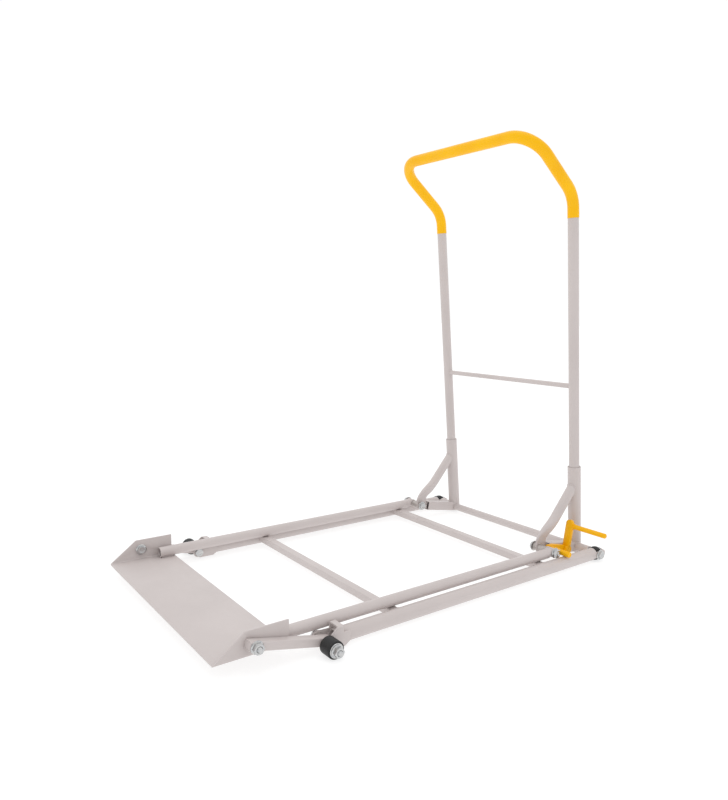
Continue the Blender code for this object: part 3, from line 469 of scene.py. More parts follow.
def weld_bead(path: Sequence[Vector], radius: float, closed: bool = True) -> Build:
    """Return a hand-laid weld: a rounded bead with the scales that the torch leaves.

    Args:
        path: the joint's line.
        radius: half the bead's width.
        closed: whether the bead runs right round; otherwise it tapers at both ends.

    Returns:
        The bead.
    """
    step, scale_pitch = 0.0006, 0.0026
    valley, swell = 0.86, 0.18
    tip, growth = 0.45, 0.2
    points = list(path) + ([path[0]] if closed else [])
    spots: list[Vector] = []
    for first, second in zip(points, points[1:]):
        count = max(1, round((second - first).length / step))
        spots += [first.lerp(second, i / count) for i in range(count)]
    if not closed:
        spots.append(points[-1])
    last = len(spots) - 1
    rings = []
    for i, spot in enumerate(spots):
        ahead = spots[(i + 2) % len(spots)] if closed else spots[min(i + 1, last)]
        behind = spots[i - 2] if closed else spots[max(i - 1, 0)]
        across, up = square_to(ahead - behind)
        size = radius * (valley + swell * math.sin(math.pi * ((i * step / scale_pitch) % 1.0)))
        if not closed:
            size *= min(1.0, tip + growth * min(i, last - i))
        rings.append(circle(spot, across, up, size, 10))
    return loft(rings, closed)


def joined(builds: Iterable[Build]) -> Build:
    """Join several bodies, and free them.

    Args:
        builds: the bodies.

    Returns:
        One bmesh that holds them all.
    """
    whole = bmesh.new()
    for build in builds:
        mesh = bpy.data.meshes.new("part_of_whole")
        build.to_mesh(mesh)
        build.free()
        whole.from_mesh(mesh)
        bpy.data.meshes.remove(mesh)
    return whole


def placed(name: str, data: bpy.types.ID) -> bpy.types.Object:
    """Make an object in the scene.

    Args:
        name: its name.
        data: its mesh, light or camera.

    Returns:
        The object.
    """
    made = bpy.data.objects.new(name, data)
    bpy.context.scene.collection.objects.link(made)
    return made


def plain_object(name: str, build: Build) -> bpy.types.Object:
    """Turn a bmesh into an object with clean outward faces, and free it.

    Args:
        name: the object's name.
        build: its body.

    Returns:
        The object.
    """
    bmesh.ops.remove_doubles(build, verts=build.verts, dist=1e-7)
    bmesh.ops.recalc_face_normals(build, faces=build.faces)
    mesh = bpy.data.meshes.new(name)
    build.to_mesh(mesh)
    build.free()
    return placed(name, mesh)


@dataclass
class Piece:
    """One visible piece: its mesh, what is cut from it, how its edges are eased, and its finish."""

    name: str
    build: Build
    finish: Finish
    cutters: Sequence[Build] = ()
    keepers: Sequence[Build] = ()
    ease: float = 0.0
    ease_angle: float = math.radians(50.0)
    smooth_angle: float = math.radians(38.0)

    def fit(self, body: str, *nodes: str) -> None:
        """Make the piece and set it on its body.

        Args:
            body: the CAD body that it rides on.
            nodes: the CAD nodes that it stands for.
        """
        made = plain_object(self.name, self.build)
        self._cut(made)
        self._soften(made)
        made.data.materials.append(self.finish.material())
        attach(made, body)
        if nodes:
            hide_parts(*nodes)
        LOG.info("%s on %s: %d faces", self.name, body, len(made.data.polygons))

    def _cut(self, made: bpy.types.Object) -> None:
        """Cut holes and copes, and keep only what lies in the keepers.

        Args:
            made: the piece's object.
        """
        tools = [("DIFFERENCE", b) for b in self.cutters] + [("INTERSECT", b) for b in self.keepers]
        cutters = []
        for operation, build in tools:
            change = made.modifiers.new("cut", "BOOLEAN")
            change.operation = operation
            change.solver = "EXACT"
            change.object = plain_object("cutter", build)
            cutters.append(change.object)
        if cutters:
            self._bake(made)
        for cutter in cutters:
            bpy.data.objects.remove(cutter)

    def _soften(self, made: bpy.types.Object) -> None:
        """Ease the sharp edges and shade the round ones smooth.

        Args:
            made: the piece's object.
        """
        if self.ease:
            change = made.modifiers.new("ease", "BEVEL")
            change.width = self.ease
            change.segments = 2
            change.limit_method = "ANGLE"
            change.angle_limit = self.ease_angle
            change.use_clamp_overlap = True
            self._bake(made)
        made.data.shade_smooth()
        made.data.set_sharp_from_angle(angle=self.smooth_angle)

    @staticmethod
    def _bake(made: bpy.types.Object) -> None:
        """Apply the modifiers.

        Args:
            made: the piece's object.
        """
        graph = bpy.context.evaluated_depsgraph_get()
        old = made.data
        made.data = bpy.data.meshes.new_from_object(made.evaluated_get(graph))
        made.modifiers.clear()
        bpy.data.meshes.remove(old)
        made.data.name = made.name


@dataclass(frozen=True)
class Datum:
    """Places and sizes that several sub-assemblies share, in metres."""

    front_axle: Vector = Vector((0.0, -0.313, 0.017))
    rear_axle: Vector = Vector((0.0, 0.498, 0.017))
    front_bolt: Vector = Vector((0.0, -0.450, 0.049))
    rear_bolt: Vector = Vector((0.0, 0.359, 0.041))
    bolt_radius: float = 0.005
    rail_x: float = 0.2862
    rail_radius: float = 0.015
    bracket_sheet: float = 0.0027
    roller_gap: float = 0.0004
    front_roller_length: float = 0.0285
    tube_x: float = 0.260
    tube_radius: float = 0.0117
    tube_z: float = 0.0389
    plate_half: float = 0.2795
    plate_top: float = 0.027
    link_inner: float = 0.2798
    link_outer: float = 0.2993
    upright_x: float = 0.2220
    lean: float = math.radians(6.33)
    setback: float = 0.0053
    sleeve_radius: float = 0.016
    handle_radius: float = 0.0125
    mid_bar_height: float = 0.416
    mid_bar_radius: float = 0.006
    bottom_bar: float = 0.025
    cross_radius: float = 0.010

    @property
    def bore(self) -> float:
        """Return the radius of the holes that the bolts pass through."""
        return self.bolt_radius + WELD_GAP

    @property
    def bracket_face(self) -> float:
        """Return the distance from the middle to a bracket's outer face, where a front roller turns."""
        return self.rail_x + self.rail_radius + WELD_GAP + self.bracket_sheet

    def leaning(self, x: float, forward: float, height: float) -> Vector:
        """Return the place of a point that is given in the leaning axes of the handle frame."""
        return Vector((x, self.rear_axle.y - forward * math.cos(self.lean) - height * math.sin(self.lean),
                       self.rear_axle.z + height * math.cos(self.lean) - forward * math.sin(self.lean)))

    def upright(self, side: Side, height: float) -> Vector:
        """Return a point of an upright's centre line."""
        return self.leaning(side.value * self.upright_x, -self.setback, height)

    @property
    def upright_way(self) -> Vector:
        """Return the uprights' direction."""
        return (self.leaning(0.0, 0.0, 1.0) - self.leaning(0.0, 0.0, 0.0)).normalized()


DATUM = Datum()


@dataclass
class Handed:
    """What the aid has on both sides. Where body is empty, each piece is the body of its own node."""

    side: Side
    body: str = ""

    def x(self, distance: float) -> float:
        """Return the X at a distance from the middle, on this side."""
        return self.side.value * distance

    def at(self, distance: float, place: Vector) -> Vector:
        """Return a point of the side plane moved out to a distance from the middle."""
        return at_x(self.x(distance), place)

    def fit(self, name: str, node: str, build: Build, finish: Finish = GREY, **work) -> None:
        """Make a piece of this side and set it on its body.

        Args:
            name: the piece's name without its side.
            node: the name of the CAD node that it stands for, without its side.
            build: its mesh.
            finish: what it is finished in.
            work: its cutters, keepers and ease.
        """
        tag = self.side.name.lower()
        Piece(f"{name}_{tag}", build, finish, **work).fit(self.body or f"{node}_{tag}", f"{node}_{tag}")


@dataclass
class Fasteners(Handed):
    """Hexagon flange bolts and nuts of 10 mm thread, with washers and spacers, all on one axis."""

    axis: Vector = DATUM.front_axle
    flats: float = 0.018
    chamfer: float = 0.97
    chamfer_angle: float = math.radians(30)
    head: float = 0.0068
    # Depth below the top of the head, and the dish's radius there
    dish: tuple[Station, ...] = ((0.0006, 0.0042), (0.0003, 0.0052), (0.0, 0.0057))
    nut_height: float = 0.0100
    countersink: float = 0.0007
    tip_past_nut: float = 0.0027
    thread_shown: float = 0.004
    tip_chamfer: float = 0.0006
    flange: float = 0.0018
    flange_rim: float = 0.0009
    flange_taper: float = 0.93
    flange_radius: float = 0.0124
    slim_flange_radius: float = 0.0098
    thread_pitch: float = 0.0015
    thread_depth: float = 0.0007
    thread_steps: int = 5
    thread_runout: int = 4
    washer: float = 0.0016
    # Share of the washer's thickness, and how far its rim or its hole is rounded there
    washer_rim: tuple[Station, ...] = ((0.0, 0.0), (0.6, 0.0), (0.9, 0.0003), (1.0, 0.0009))
    washer_hole: tuple[Station, ...] = ((1.0, 0.0004), (0.8, 0.0), (0.0, 0.0))
    spacer_radius: float = 0.0085
    sides: int = 48

    def _point(self, x: float, radius: float, i: int) -> Vector:
        """Return point number i of a ring square to X."""
        turn = math.tau * i / self.sides
        return Vector((x, self.axis.y + radius * math.cos(turn), self.axis.z + radius * math.sin(turn)))

    def _ring(self, x: float, radius: float) -> Ring:
        """Return a round ring square to X."""
        return circle(at_x(x, self.axis), AXIS_Y, AXIS_Z, radius, self.sides)

    def _hexagon(self, x: float, out: float, chamfered: bool) -> Ring:
        """Return a hexagon's ring, its corners drawn back where it is chamfered.

        Args:
            x: the ring's place along X.
            out: sign of X away from the joint.
            chamfered: whether a chamfer cuts the corners.

        Returns:
            The ring.
        """
        apothem = self.flats / 2
        ring = []
        for i in range(self.sides):
            off_flat = (math.tau * i / self.sides % (math.pi / 3)) - math.pi / 6
            radius = apothem / math.cos(off_flat)
            drop = (radius - apothem * self.chamfer) * math.tan(self.chamfer_angle) if chamfered else 0.0
            ring.append(self._point(x - out * drop, radius, i))
        return ring

    def _flanged_hexagon(self, base: float, out: float, height: float, radius: float) -> list[Ring]:
        """Return the outside of a nut or of a bolt's head, from its bearing face up.

        Args:
            base: the bearing face's place along X.
            out: sign of X away from the joint.
            height: height with the flange.
            radius: the flange's radius.

        Returns:
            Its rings.
        """
        top = base + out * height
        return [self._ring(base, radius), self._ring(base + out * self.flange_rim, radius),
                self._ring(base + out * self.flange, radius * self.flange_taper),
                self._hexagon(base + out * (self.flange + RIM), out, False), self._hexagon(top, out, True),
                self._ring(top, self.flats / 2 * self.chamfer)]

    def _thread(self, start: float, end: float) -> list[Ring]:
        """Return a helical thread with a chamfered tip.

        Args:
            start: where it starts along X.
            end: the tip's place along X.

        Returns:
            Its rings.
        """
        count = max(self.thread_runout, round(abs(end - start) / (self.thread_pitch / self.thread_steps)))
        rings = []
        for k in range(count + 1):
            x = start + (end - start) * k / count
            fade = min(1.0, (count - k) / self.thread_runout)
            ring = []
            for i in range(self.sides):
                wave = abs(((abs(x - start) / self.thread_pitch + i / self.sides) % 1.0) - 0.5) * 2
                groove = self.thread_depth * wave * fade
                radius = DATUM.bolt_radius - groove - self.tip_chamfer * (1.0 - fade)
                ring.append(self._point(x, radius, i))
            rings.append(ring)
        return rings

    def bolt(self, name: str, head_x: float, tip_x: float, thread: float, slim: bool = False) -> None:
        """Fit a flange bolt.

        Args:
            name: the node that it stands for, without its side.
            head_x: distance from the middle to the head's bearing face.
            tip_x: distance from the middle to the thread's end.
            thread: length of the thread that shows.
            slim: whether the flange is turned down to pass under the load tube.
        """
        out = math.copysign(1.0, head_x - tip_x) * self.side.value
        bearing = self.x(head_x)
        top = bearing + out * self.head
        shank_end = self.x(tip_x + math.copysign(thread, head_x - tip_x))
        flange_radius = self.slim_flange_radius if slim else self.flange_radius
        rings = [self._ring(top - out * deep, radius) for deep, radius in self.dish]
        rings += reversed(self._flanged_hexagon(bearing, out, self.head, flange_radius))
        rings += [self._ring(bearing, DATUM.bolt_radius), self._ring(shank_end, DATUM.bolt_radius)]
        rings += self._thread(shank_end, self.x(tip_x))
        self.fit(f"hex_bolt_{name}", name, loft(rings), ZINC)

    def nut(self, name: str, inner_x: float) -> None:
        """Fit a flange nut.

        Args:
            name: the node that it stands for, without its side.
            inner_x: distance from the middle to its bearing face.
        """
        out = self.side.value
        base = self.x(inner_x)
        top = base + out * self.nut_height
        rings = self._flanged_hexagon(base, out, self.nut_height, self.flange_radius)
        rings += [self._ring(top, DATUM.bore + self.countersink),
                  self._ring(top - out * self.countersink, DATUM.bore), self._ring(base, DATUM.bore)]
        self.fit(f"hex_nut_{name}", name, loft(rings, closed=True), ZINC)

    def bolt_and_nut(self, name: str, head_x: float, nut_x: float, slim: bool = False) -> None:
        """Fit a bolt from the inside and the nut on its end.

        Args:
            name: what both nodes' names start with.
            head_x: distance from the middle to the head's bearing face.
            nut_x: distance from the middle to the nut's bearing face.
            slim: whether the head's flange is turned down.
        """
        tip_x = nut_x + self.nut_height + self.tip_past_nut
        self.bolt(f"{name}_bolt", head_x, tip_x, self.thread_shown, slim)
        self.nut(f"{name}_nut", nut_x)

    def ring_washer(self, name: str, inner_x: float, radius: float) -> None:
        """Fit a stamped washer with one rounded face.

        Args:
            name: the node that it stands for, without its side.
            inner_x: distance from the middle to its flat face.
            radius: its outer radius.
        """
        section = [(self.washer * share, radius - inset) for share, inset in self.washer_rim]
        section += [(self.washer * share, DATUM.bore + inset) for share, inset in self.washer_hole]
        build = turned(self.at(inner_x, self.axis), AXIS_X * self.side.value, section, True)
        self.fit(f"washer_{name}", name, build, ZINC)

    def spacer(self, name: str, x0: float, x1: float) -> None:
        """Fit a turned spacer tube between two faces."""
        build = pipe(self.at(x0, self.axis), self.at(x1, self.axis), self.spacer_radius, DATUM.bore)
        self.fit(f"turned_{name}", name, build, DULL_ZINC)


@dataclass
class Rail(Handed):
    """One rail with its axle bracket, its inner cheek and both axles."""

    body: str = "base"
    front: float = -0.289
    rear: float = 0.520
    wall: float = 0.002
    fork_half: float = 0.0124
    fork_front: float = 0.4795
    fork_rear: float = 0.5165
    window_half: float = 0.0115
    window_floor: float = -0.001
    slant_top: float = 0.0134
    slant_foot: float = -0.012
    slot_ease: float = 0.00035
    sheet_ease: float = 0.0004
    bracket_top: float = 0.043
    bracket_rear: float = -0.262
    bracket_neck: float = -0.277
    bracket_shoulder: float = 0.030
    bracket_bottom: float = 0.0025
    bracket_taper: float = 0.012
    bracket_fold: float = 0.0012
    taper_rise: float = 0.006
    leg_clearance: float = 0.001
    cheek_spare: float = 0.002
    nose: float = 0.0125
    nose_flat: float = 0.004
    wide_washer: float = 0.014
    link_washer: float = 0.010
    axle_in_sleeve: float = 0.004
    axle_thread: float = 0.006
    bead_foot: float = 0.012
    bead_top: float = 0.023
    bead_radius: float = 0.0015

    def make(self) -> None:
        """Build every piece of this side."""
        self.rail()
        self.axle_bracket()
        self.inner_cheek()
        self.front_axle()
        self.rear_axle()

    def rail(self) -> None:
        """Round rail, sawn square, with a long slot under its rear roller and a short window over it."""
        x = self.x(DATUM.rail_x)
        y, z = DATUM.rear_axle.y, DATUM.rear_axle.z
        build = pipe(Vector((x, self.front, z)), Vector((x, self.rear, z)), DATUM.rail_radius,
                     DATUM.rail_radius - self.wall, sides=56)
        slot = window(x - self.fork_half, x + self.fork_half, self.fork_front, self.fork_rear, z - REACH, z)
        opening = window(x - self.fork_half, x + self.fork_half, y - self.window_half, y + self.window_half,
                         z + self.window_floor, z + REACH)
        slant = prism_x(x - REACH, x + REACH, [
            (y + self.window_half, z + self.slant_top), (y + self.window_half, z + REACH),
            (self.rear + REACH, z + REACH), (self.rear + REACH, z + self.slant_foot)])
        hole = drill(x - REACH, x + REACH, DATUM.rear_axle, DATUM.bore)
        self.fit("round_rail", "rail", build, cutters=[slot, opening, slant, hole], ease=self.slot_ease)

    def cheek_outline(self, top: float) -> list[Station]:
        """Draw a cheek with its round nose at the front axle.

        Args:
            top: height of its upper edge.

        Returns:
            Its (y, z) outline.
        """
        y, z = DATUM.front_axle.y, DATUM.front_axle.z
        rear, bottom, shoulder = self.bracket_rear, self.bracket_bottom, self.bracket_shoulder
        outline = [(self.front, top)] + arc((y, z), self.nose, 60, 180, 14)
        outline += arc((y, z), self.nose, 180, 270, 10)
        outline += [(y + self.nose_flat, bottom), (rear - self.bracket_taper, bottom),
                    (rear, z - self.taper_rise)]
        if top <= shoulder:
            return outline + [(rear, top)]
        return outline + [(rear, shoulder), (self.bracket_neck, shoulder), (self.bracket_neck, top)]

    def axle_bracket(self) -> None:
        """Sheet folded over the rail: an outer cheek for the axle, a web and a short inner leg."""
        x = self.x(DATUM.rail_x)
        sheet = DATUM.bracket_sheet
        cheek = DATUM.rail_radius + WELD_GAP
        far = cheek + sheet
        leg = DATUM.rail_x - (DATUM.tube_x + DATUM.tube_radius + self.leg_clearance)
        leg_foot = DATUM.front_axle.z + math.sqrt(cheek ** 2 - (leg - sheet) ** 2)
        outside = self.bracket_fold + sheet
        low, top = self.bracket_bottom - self.cheek_spare, self.bracket_top
        well_ahead = -0.40
        over_cheek = (far - outside, top - outside)
        over_leg = (outside - leg, top - outside)
        section = [(far, low)] + arc(over_cheek, outside, 0, 90, 8) + arc(over_leg, outside, 90, 180, 8)
        section += [(-leg, leg_foot), (sheet - leg, leg_foot)]
        section += arc(over_leg, self.bracket_fold, 180, 90, 4)
        section += arc(over_cheek, self.bracket_fold, 90, 0, 4) + [(cheek, low)]
        build = prism_y(DATUM.front_axle.y - REACH, self.bracket_rear + SPARE,
                        [(x + self.x(a), b) for a, b in section])
        side_cut = prism_x(x - self.x(REACH), x + self.x(REACH), self.cheek_outline(top + RIM))
        notch = window(x - self.x(REACH), x + self.x(cheek), well_ahead, self.front, -SPARE, top + SPARE)
        hole = drill(x, x + self.x(4 * SPARE), DATUM.front_axle, DATUM.bore)
        self.fit("folded_bracket", "axle_bracket", build, cutters=[notch, hole], keepers=[side_cut],
                 ease=self.sheet_ease)

    def inner_cheek(self) -> None:
        """Flat plate inside the rail, the other ear of the front axle."""
        outer = self.x(DATUM.rail_x - DATUM.rail_radius - WELD_GAP)
        build = prism_x(outer - self.x(DATUM.bracket_sheet), outer, self.cheek_outline(DATUM.plate_top))
        hole = drill(outer - self.x(2 * SPARE), outer + self.x(2 * SPARE), DATUM.front_axle, DATUM.bore)
        self.fit("flat_cheek", "inner_cheek", build, cutters=[hole], ease=self.sheet_ease)

    def front_axle(self) -> None:
        """Bolt through both cheeks, the link and the roller, with its spacer, washers and nut."""
        axle = Fasteners(self.side, self.body, DATUM.front_axle)
        inner = DATUM.rail_x - DATUM.rail_radius
        washer_x = DATUM.bracket_face + DATUM.front_roller_length + 2 * DATUM.roller_gap
        axle.bolt_and_nut("front_axle", inner - DATUM.bracket_sheet - 2 * WELD_GAP,
                          washer_x + axle.washer + WELD_GAP, slim=True)
        axle.ring_washer("front_axle_washer", washer_x, self.wide_washer)
        axle.ring_washer("front_link_washer", DATUM.link_outer + WELD_GAP, self.link_washer)
        axle.spacer("front_link_spacer", inner, DATUM.link_inner - WELD_GAP)

    def rear_axle(self) -> None:
        """Bolt from outside through the fork, the roller and the collar, into the sleeve."""
        Fasteners(self.side, self.body, DATUM.rear_axle).bolt(
            "rear_axle_bolt", DATUM.rail_x + DATUM.rail_radius + WELD_GAP,
            DATUM.upright_x + DATUM.sleeve_radius + self.axle_in_sleeve, self.axle_thread)

    def bead(self) -> Build:
        """Lay the bead down the bracket's rear edge.

        Returns:
            The bead.
        """
        spot = Vector((self.x(DATUM.rail_x + DATUM.rail_radius), self.bracket_rear + WELD_GAP, 0.0))
        ends = [spot + AXIS_Z * height for height in (self.bead_foot, self.bead_top)]
        return weld_bead(ends, self.bead_radius, False)


@dataclass
class BaseFrame:
    """What stays on the floor: two rails with what they carry, and two cross bars."""

    bar_width: float = 0.020
    bar_height: float = 0.0162
    bar_wall: float = 0.0015
    bar_corner: float = 0.002
    bar_top: float = 0.0267
    bead_radius: float = 0.0016
    cope_half: float = 0.05
    bar_places: dict[str, float] = field(default_factory=lambda: {"front": -0.134, "rear": 0.309})

    def make(self) -> None:
        """Build every piece of the base."""
        rails = [Rail(side) for side in Side]
        for rail in rails:
            rail.make()
        for tag, y in self.bar_places.items():
            self.cross_bar(tag, y)
        beads = [bead for rail in rails for bead in self.bar_beads(rail.side) + [rail.bead()]]
        Piece("welds_base", joined(beads), GREY).fit("base")

    def cross_bar(self, tag: str, y: float) -> None:
        """Box tube with its ends coped to the rails.

        Args:
            tag: which bar it is.
            y: where it lies.
        """
        reach = DATUM.rail_x - DATUM.rail_radius / 2
        z = self.bar_top - self.bar_height / 2
        build = box_tube(Vector((-reach, y, z)), Vector((reach, y, z)), self.bar_width, self.bar_height,
                         self.bar_wall, self.bar_corner)
        radius = DATUM.rail_radius + WELD_GAP
        copes = [turned(Vector((side.value * DATUM.rail_x, y - self.cope_half, DATUM.rear_axle.z)), AXIS_Y,
                        [(0.0, radius), (2 * self.cope_half, radius)]) for side in Side]
        Piece(f"box_cross_bar_{tag}", build, GREY, copes).fit("base", f"crossbar_{tag}")

    def bar_beads(self, side: Side) -> list[Build]:
        """Lay the beads round the cross bars' ends.

        Args:
            side: the side of the aid.

        Returns:
            One bead for each bar.
        """
        rail = Vector((side.value * DATUM.rail_x, 0.0, DATUM.rear_axle.z))
        outline = rounded_rectangle(self.bar_width, self.bar_height, self.bar_corner, 3)
        z = self.bar_top - self.bar_height / 2
        beads = []
        for y in self.bar_places.values():
            line = [meet(Vector((0.0, y + a, z + b)), AXIS_X * side.value, rail, AXIS_Y, DATUM.rail_radius)
                    for a, b in outline]
            beads.append(weld_bead(line, self.bead_radius))
        return beads


@dataclass
class Rollers(Handed):
    """A wide roller outside the front bracket and one in the fork of the rail."""

    radius: float = 0.017
    rear_length: float = 0.024
    recess: float = 0.0012
    edge: float = 0.0015
    hub: float = 0.0088
    rim: float = 0.0135
    slope: float = 0.0008
    edge_drop: float = 0.0006

    def make(self) -> None:
        """Build both."""
        faces = (DATUM.bracket_face + DATUM.roller_gap, DATUM.rail_x - self.rear_length / 2)
        self.roller("front_roller", faces[0], self.straight(), DATUM.front_axle)
        self.roller("rear_roller", faces[1], self.crowned(), DATUM.rear_axle)

    def roller(self, name: str, start_x: float, stations: list[Station], axle: Vector) -> None:
        """Turn one roller.

        Args:
            name: the node and body that it stands for, without its side.
            start_x: distance from the middle to its inner face.
            stations: its closed section.
            axle: its axis.
        """
        build = turned(self.at(start_x, axle), AXIS_X * self.side.value, stations, True, 64)
        self.fit(f"moulded_{name}", name, build, POLYMER)

    def crowned(self) -> list[Station]:
        """Draw a rear roller, whose tread follows the round of the rail.

        Returns:
            Its closed section.
        """
        length, bore = self.rear_length, DATUM.bore
        count = 24
        tread = []
        for i in range(count + 1):
            d = length * i / count
            round_of_rail = math.sqrt(DATUM.rail_radius ** 2 - (d - length / 2) ** 2)
            tread.append((d, round_of_rail + self.radius - DATUM.rail_radius))
        shoulder = tread[0][1] - self.edge_drop
        return ([(0.0, bore + RIM), (0.0, shoulder)] + tread[1:-1] +
                [(length, shoulder), (length, bore + RIM), (length - RIM, bore), (RIM, bore)])

    def straight(self) -> list[Station]:
        """Draw a front roller: round shoulders, a recessed face and a raised hub.

        Returns:
            Its closed section.
        """
        length, bore, edge = DATUM.front_roller_length, DATUM.bore, self.edge
        half = [(0.0, bore + RIM), (0.0, self.hub), (self.recess, self.hub + self.slope),
                (self.recess, self.rim - self.slope), (0.0, self.rim)]
        half += [(edge - edge * math.cos(turn), self.radius - edge + edge * math.sin(turn))
                 for turn in (math.radians(a) for a in range(0, 91, 18))]
        return half + [(length - d, r) for d, r in reversed(half)] + [(length - RIM, bore), (RIM, bore)]


@dataclass
class LoadTube(Handed):
    """One load tube with the bushing at its rear end."""

    body: str = "lift_frame"
    front: float = -0.413
    before_bolt: float = 0.005
    wall: float = 0.002
    bushing_radius: float = 0.010
    neck_length: float = 0.016
    neck_half_wide: float = 0.0113
    neck_half_high: float = 0.0100
    neck_corner: float = 0.0075
    # Distance along the neck, and the share of its form that is reached there
    neck_form: tuple[Station, ...] = ((0.0, 0.0), (0.0012, 0.12), (0.0030, 0.88), (0.0042, 1.0))
    round_share: float = 0.98
    bushing_edge: float = 0.0006
    plate_bead: float = 0.0017
    plate_bead_away: float = 0.0042
    plate_bead_lift: float = 0.0006
    plate_bead_inset: float = 0.004
    bushing_bead: float = 0.0014

    def tube(self) -> None:
        """Long round tube, sawn square at the toe end and necked down to its bushing at the other."""
        x = self.x(DATUM.tube_x)
        r = DATUM.tube_radius
        neck = DATUM.rear_bolt.y - self.neck_length
        # Place along Y, share of the neck's form, and how far the rim is eased
        stations = [(self.front, 0.0, RIM), (self.front + RIM, 0.0, 0.0)]
        stations += [(neck + distance, share, 0.0) for distance, share in self.neck_form]
        stations += [(DATUM.rear_bolt.y - self.before_bolt, 1.0, 0.0)]
        outside, inside = [], []
        for y, share, cut in stations:
            z = DATUM.tube_z + (DATUM.rear_bolt.z - DATUM.tube_z) * share
            half_wide = r + (self.neck_half_wide - r) * share
            half_high = r + (self.neck_half_high - r) * share
            corner = r * self.round_share * (1 - share) + self.neck_corner * share
            for rings, inset in ((outside, cut), (inside, self.wall)):
                wide, high = 2 * (half_wide - inset), 2 * (half_high - inset)
                outline = rounded_rectangle(wide, high, corner - inset, 13)
                rings.append([Vector((x + a, y, z + b)) for a, b in outline])
        cope = drill(x - REACH, x + REACH, DATUM.rear_bolt, self.bushing_radius + WELD_GAP, 64)
        self.fit("round_load_tube", "lift_tube", loft(outside + inside[::-1], closed=True), cutters=[cope])

    def bushing(self) -> None:
        """Turned bushing across the tube's end, in which the long bolt turns."""
        r = DATUM.tube_radius
        ends = [self.at(DATUM.tube_x + away, DATUM.rear_bolt) for away in (-r, r)]
        build = pipe(*ends, self.bushing_radius, DATUM.bore, self.bushing_edge)
        self.fit("turned_bushing", "lift_bushing", build)

    def beads(self, plate_rear: float) -> list[Build]:
        """Lay two beads where the tube lies on the plate, and one round its bushing's joint.

        Args:
            plate_rear: the toe plate's rear edge.

        Returns:
            The beads.
        """
        beads = []
        z = DATUM.plate_top + self.plate_bead_lift
        ends = (self.front + self.plate_bead_inset, plate_rear - self.plate_bead_inset)
        for away in (-self.plate_bead_away, self.plate_bead_away):
            x = self.x(DATUM.tube_x) + away
            beads.append(weld_bead([Vector((x, y, z)) for y in ends], self.plate_bead, False))
        return beads + [weld_bead(self.bushing_line(), self.bushing_bead)]

    def bushing_line(self) -> list[Vector]:
        """Find the joint of the tube and its bushing.

        Returns:
            Its line, all round.
        """
        end = DATUM.rear_bolt.y - self.before_bolt
        start = self.at(DATUM.tube_x, DATUM.rear_bolt) - AXIS_Y * REACH
        outline = rounded_rectangle(2 * self.neck_half_wide, 2 * self.neck_half_high, self.neck_corner, 9)
        line = [meet(point, AXIS_Y, DATUM.rear_bolt, AXIS_X, self.bushing_radius)
                for point in outlined(start, AXIS_X, AXIS_Z, outline)]
        return [Vector((point.x, min(point.y, end), point.z)) for point in line]


@dataclass
class LiftFrame:
    """Folded toe plate under two load tubes, with the bolts that hang it on the front links."""

    front: float = -0.520
    depth: float = 0.143
    sheet: float = 0.003
    fold: float = 0.003
    flange: float = 0.048
    slope: float = 0.059
    corner: float = 0.008
    body: str = "lift_frame"

    def make(self) -> None:
        """Build the plate, the tubes, their bolts and welds."""
        self.toe_plate()
        tubes = [LoadTube(side) for side in Side]
        for tube in tubes:
            tube.tube()
            tube.bushing()
            Fasteners(tube.side, self.body, DATUM.front_bolt).bolt_and_nut(
                "front_pivot", DATUM.plate_half - self.sheet - WELD_GAP, DATUM.link_outer + WELD_GAP)
        beads = [bead for tube in tubes for bead in tube.beads(self.front + self.depth)]
        Piece("welds_lift_frame", joined(beads), GREY).fit(self.body)

    def toe_plate(self) -> None:
        """Sheet with both flanges folded up and their fronts cut to a slope."""
        outer = self.fold + self.sheet
        bottom = DATUM.plate_top - self.sheet
        top = bottom + self.flange
        above = top + SPARE
        ahead = self.front - 2 * SPARE
        bend = (DATUM.plate_half - outer, bottom + outer)
        half = arc(bend, outer, -90, 0, 10)
        half += [(DATUM.plate_half, top), (DATUM.plate_half - self.sheet, top)]
        half += arc(bend, self.fold, 0, -90, 10)
        build = prism_y(self.front, self.front + self.depth, half + [(-x, z) for x, z in reversed(half)])
        slope = math.degrees(math.atan2(self.flange - self.sheet, self.slope))
        corner_y = self.front + self.slope + self.corner * math.tan(math.radians(slope / 2))
        line = [(self.front - WELD_GAP, DATUM.plate_top)]
        line += arc((corner_y, top - self.corner), self.corner, 90 + slope, 90, 10)
        line += [(corner_y, above), (ahead, above), (ahead, DATUM.plate_top)]
        wide = DATUM.plate_half + SPARE
        cutters = [prism_x(-wide, wide, line), drill(-wide, wide, DATUM.front_bolt, DATUM.bore)]
        Piece("folded_toe_plate", build, GREY, cutters, ease=RIM).fit(self.body, "toe_plate")


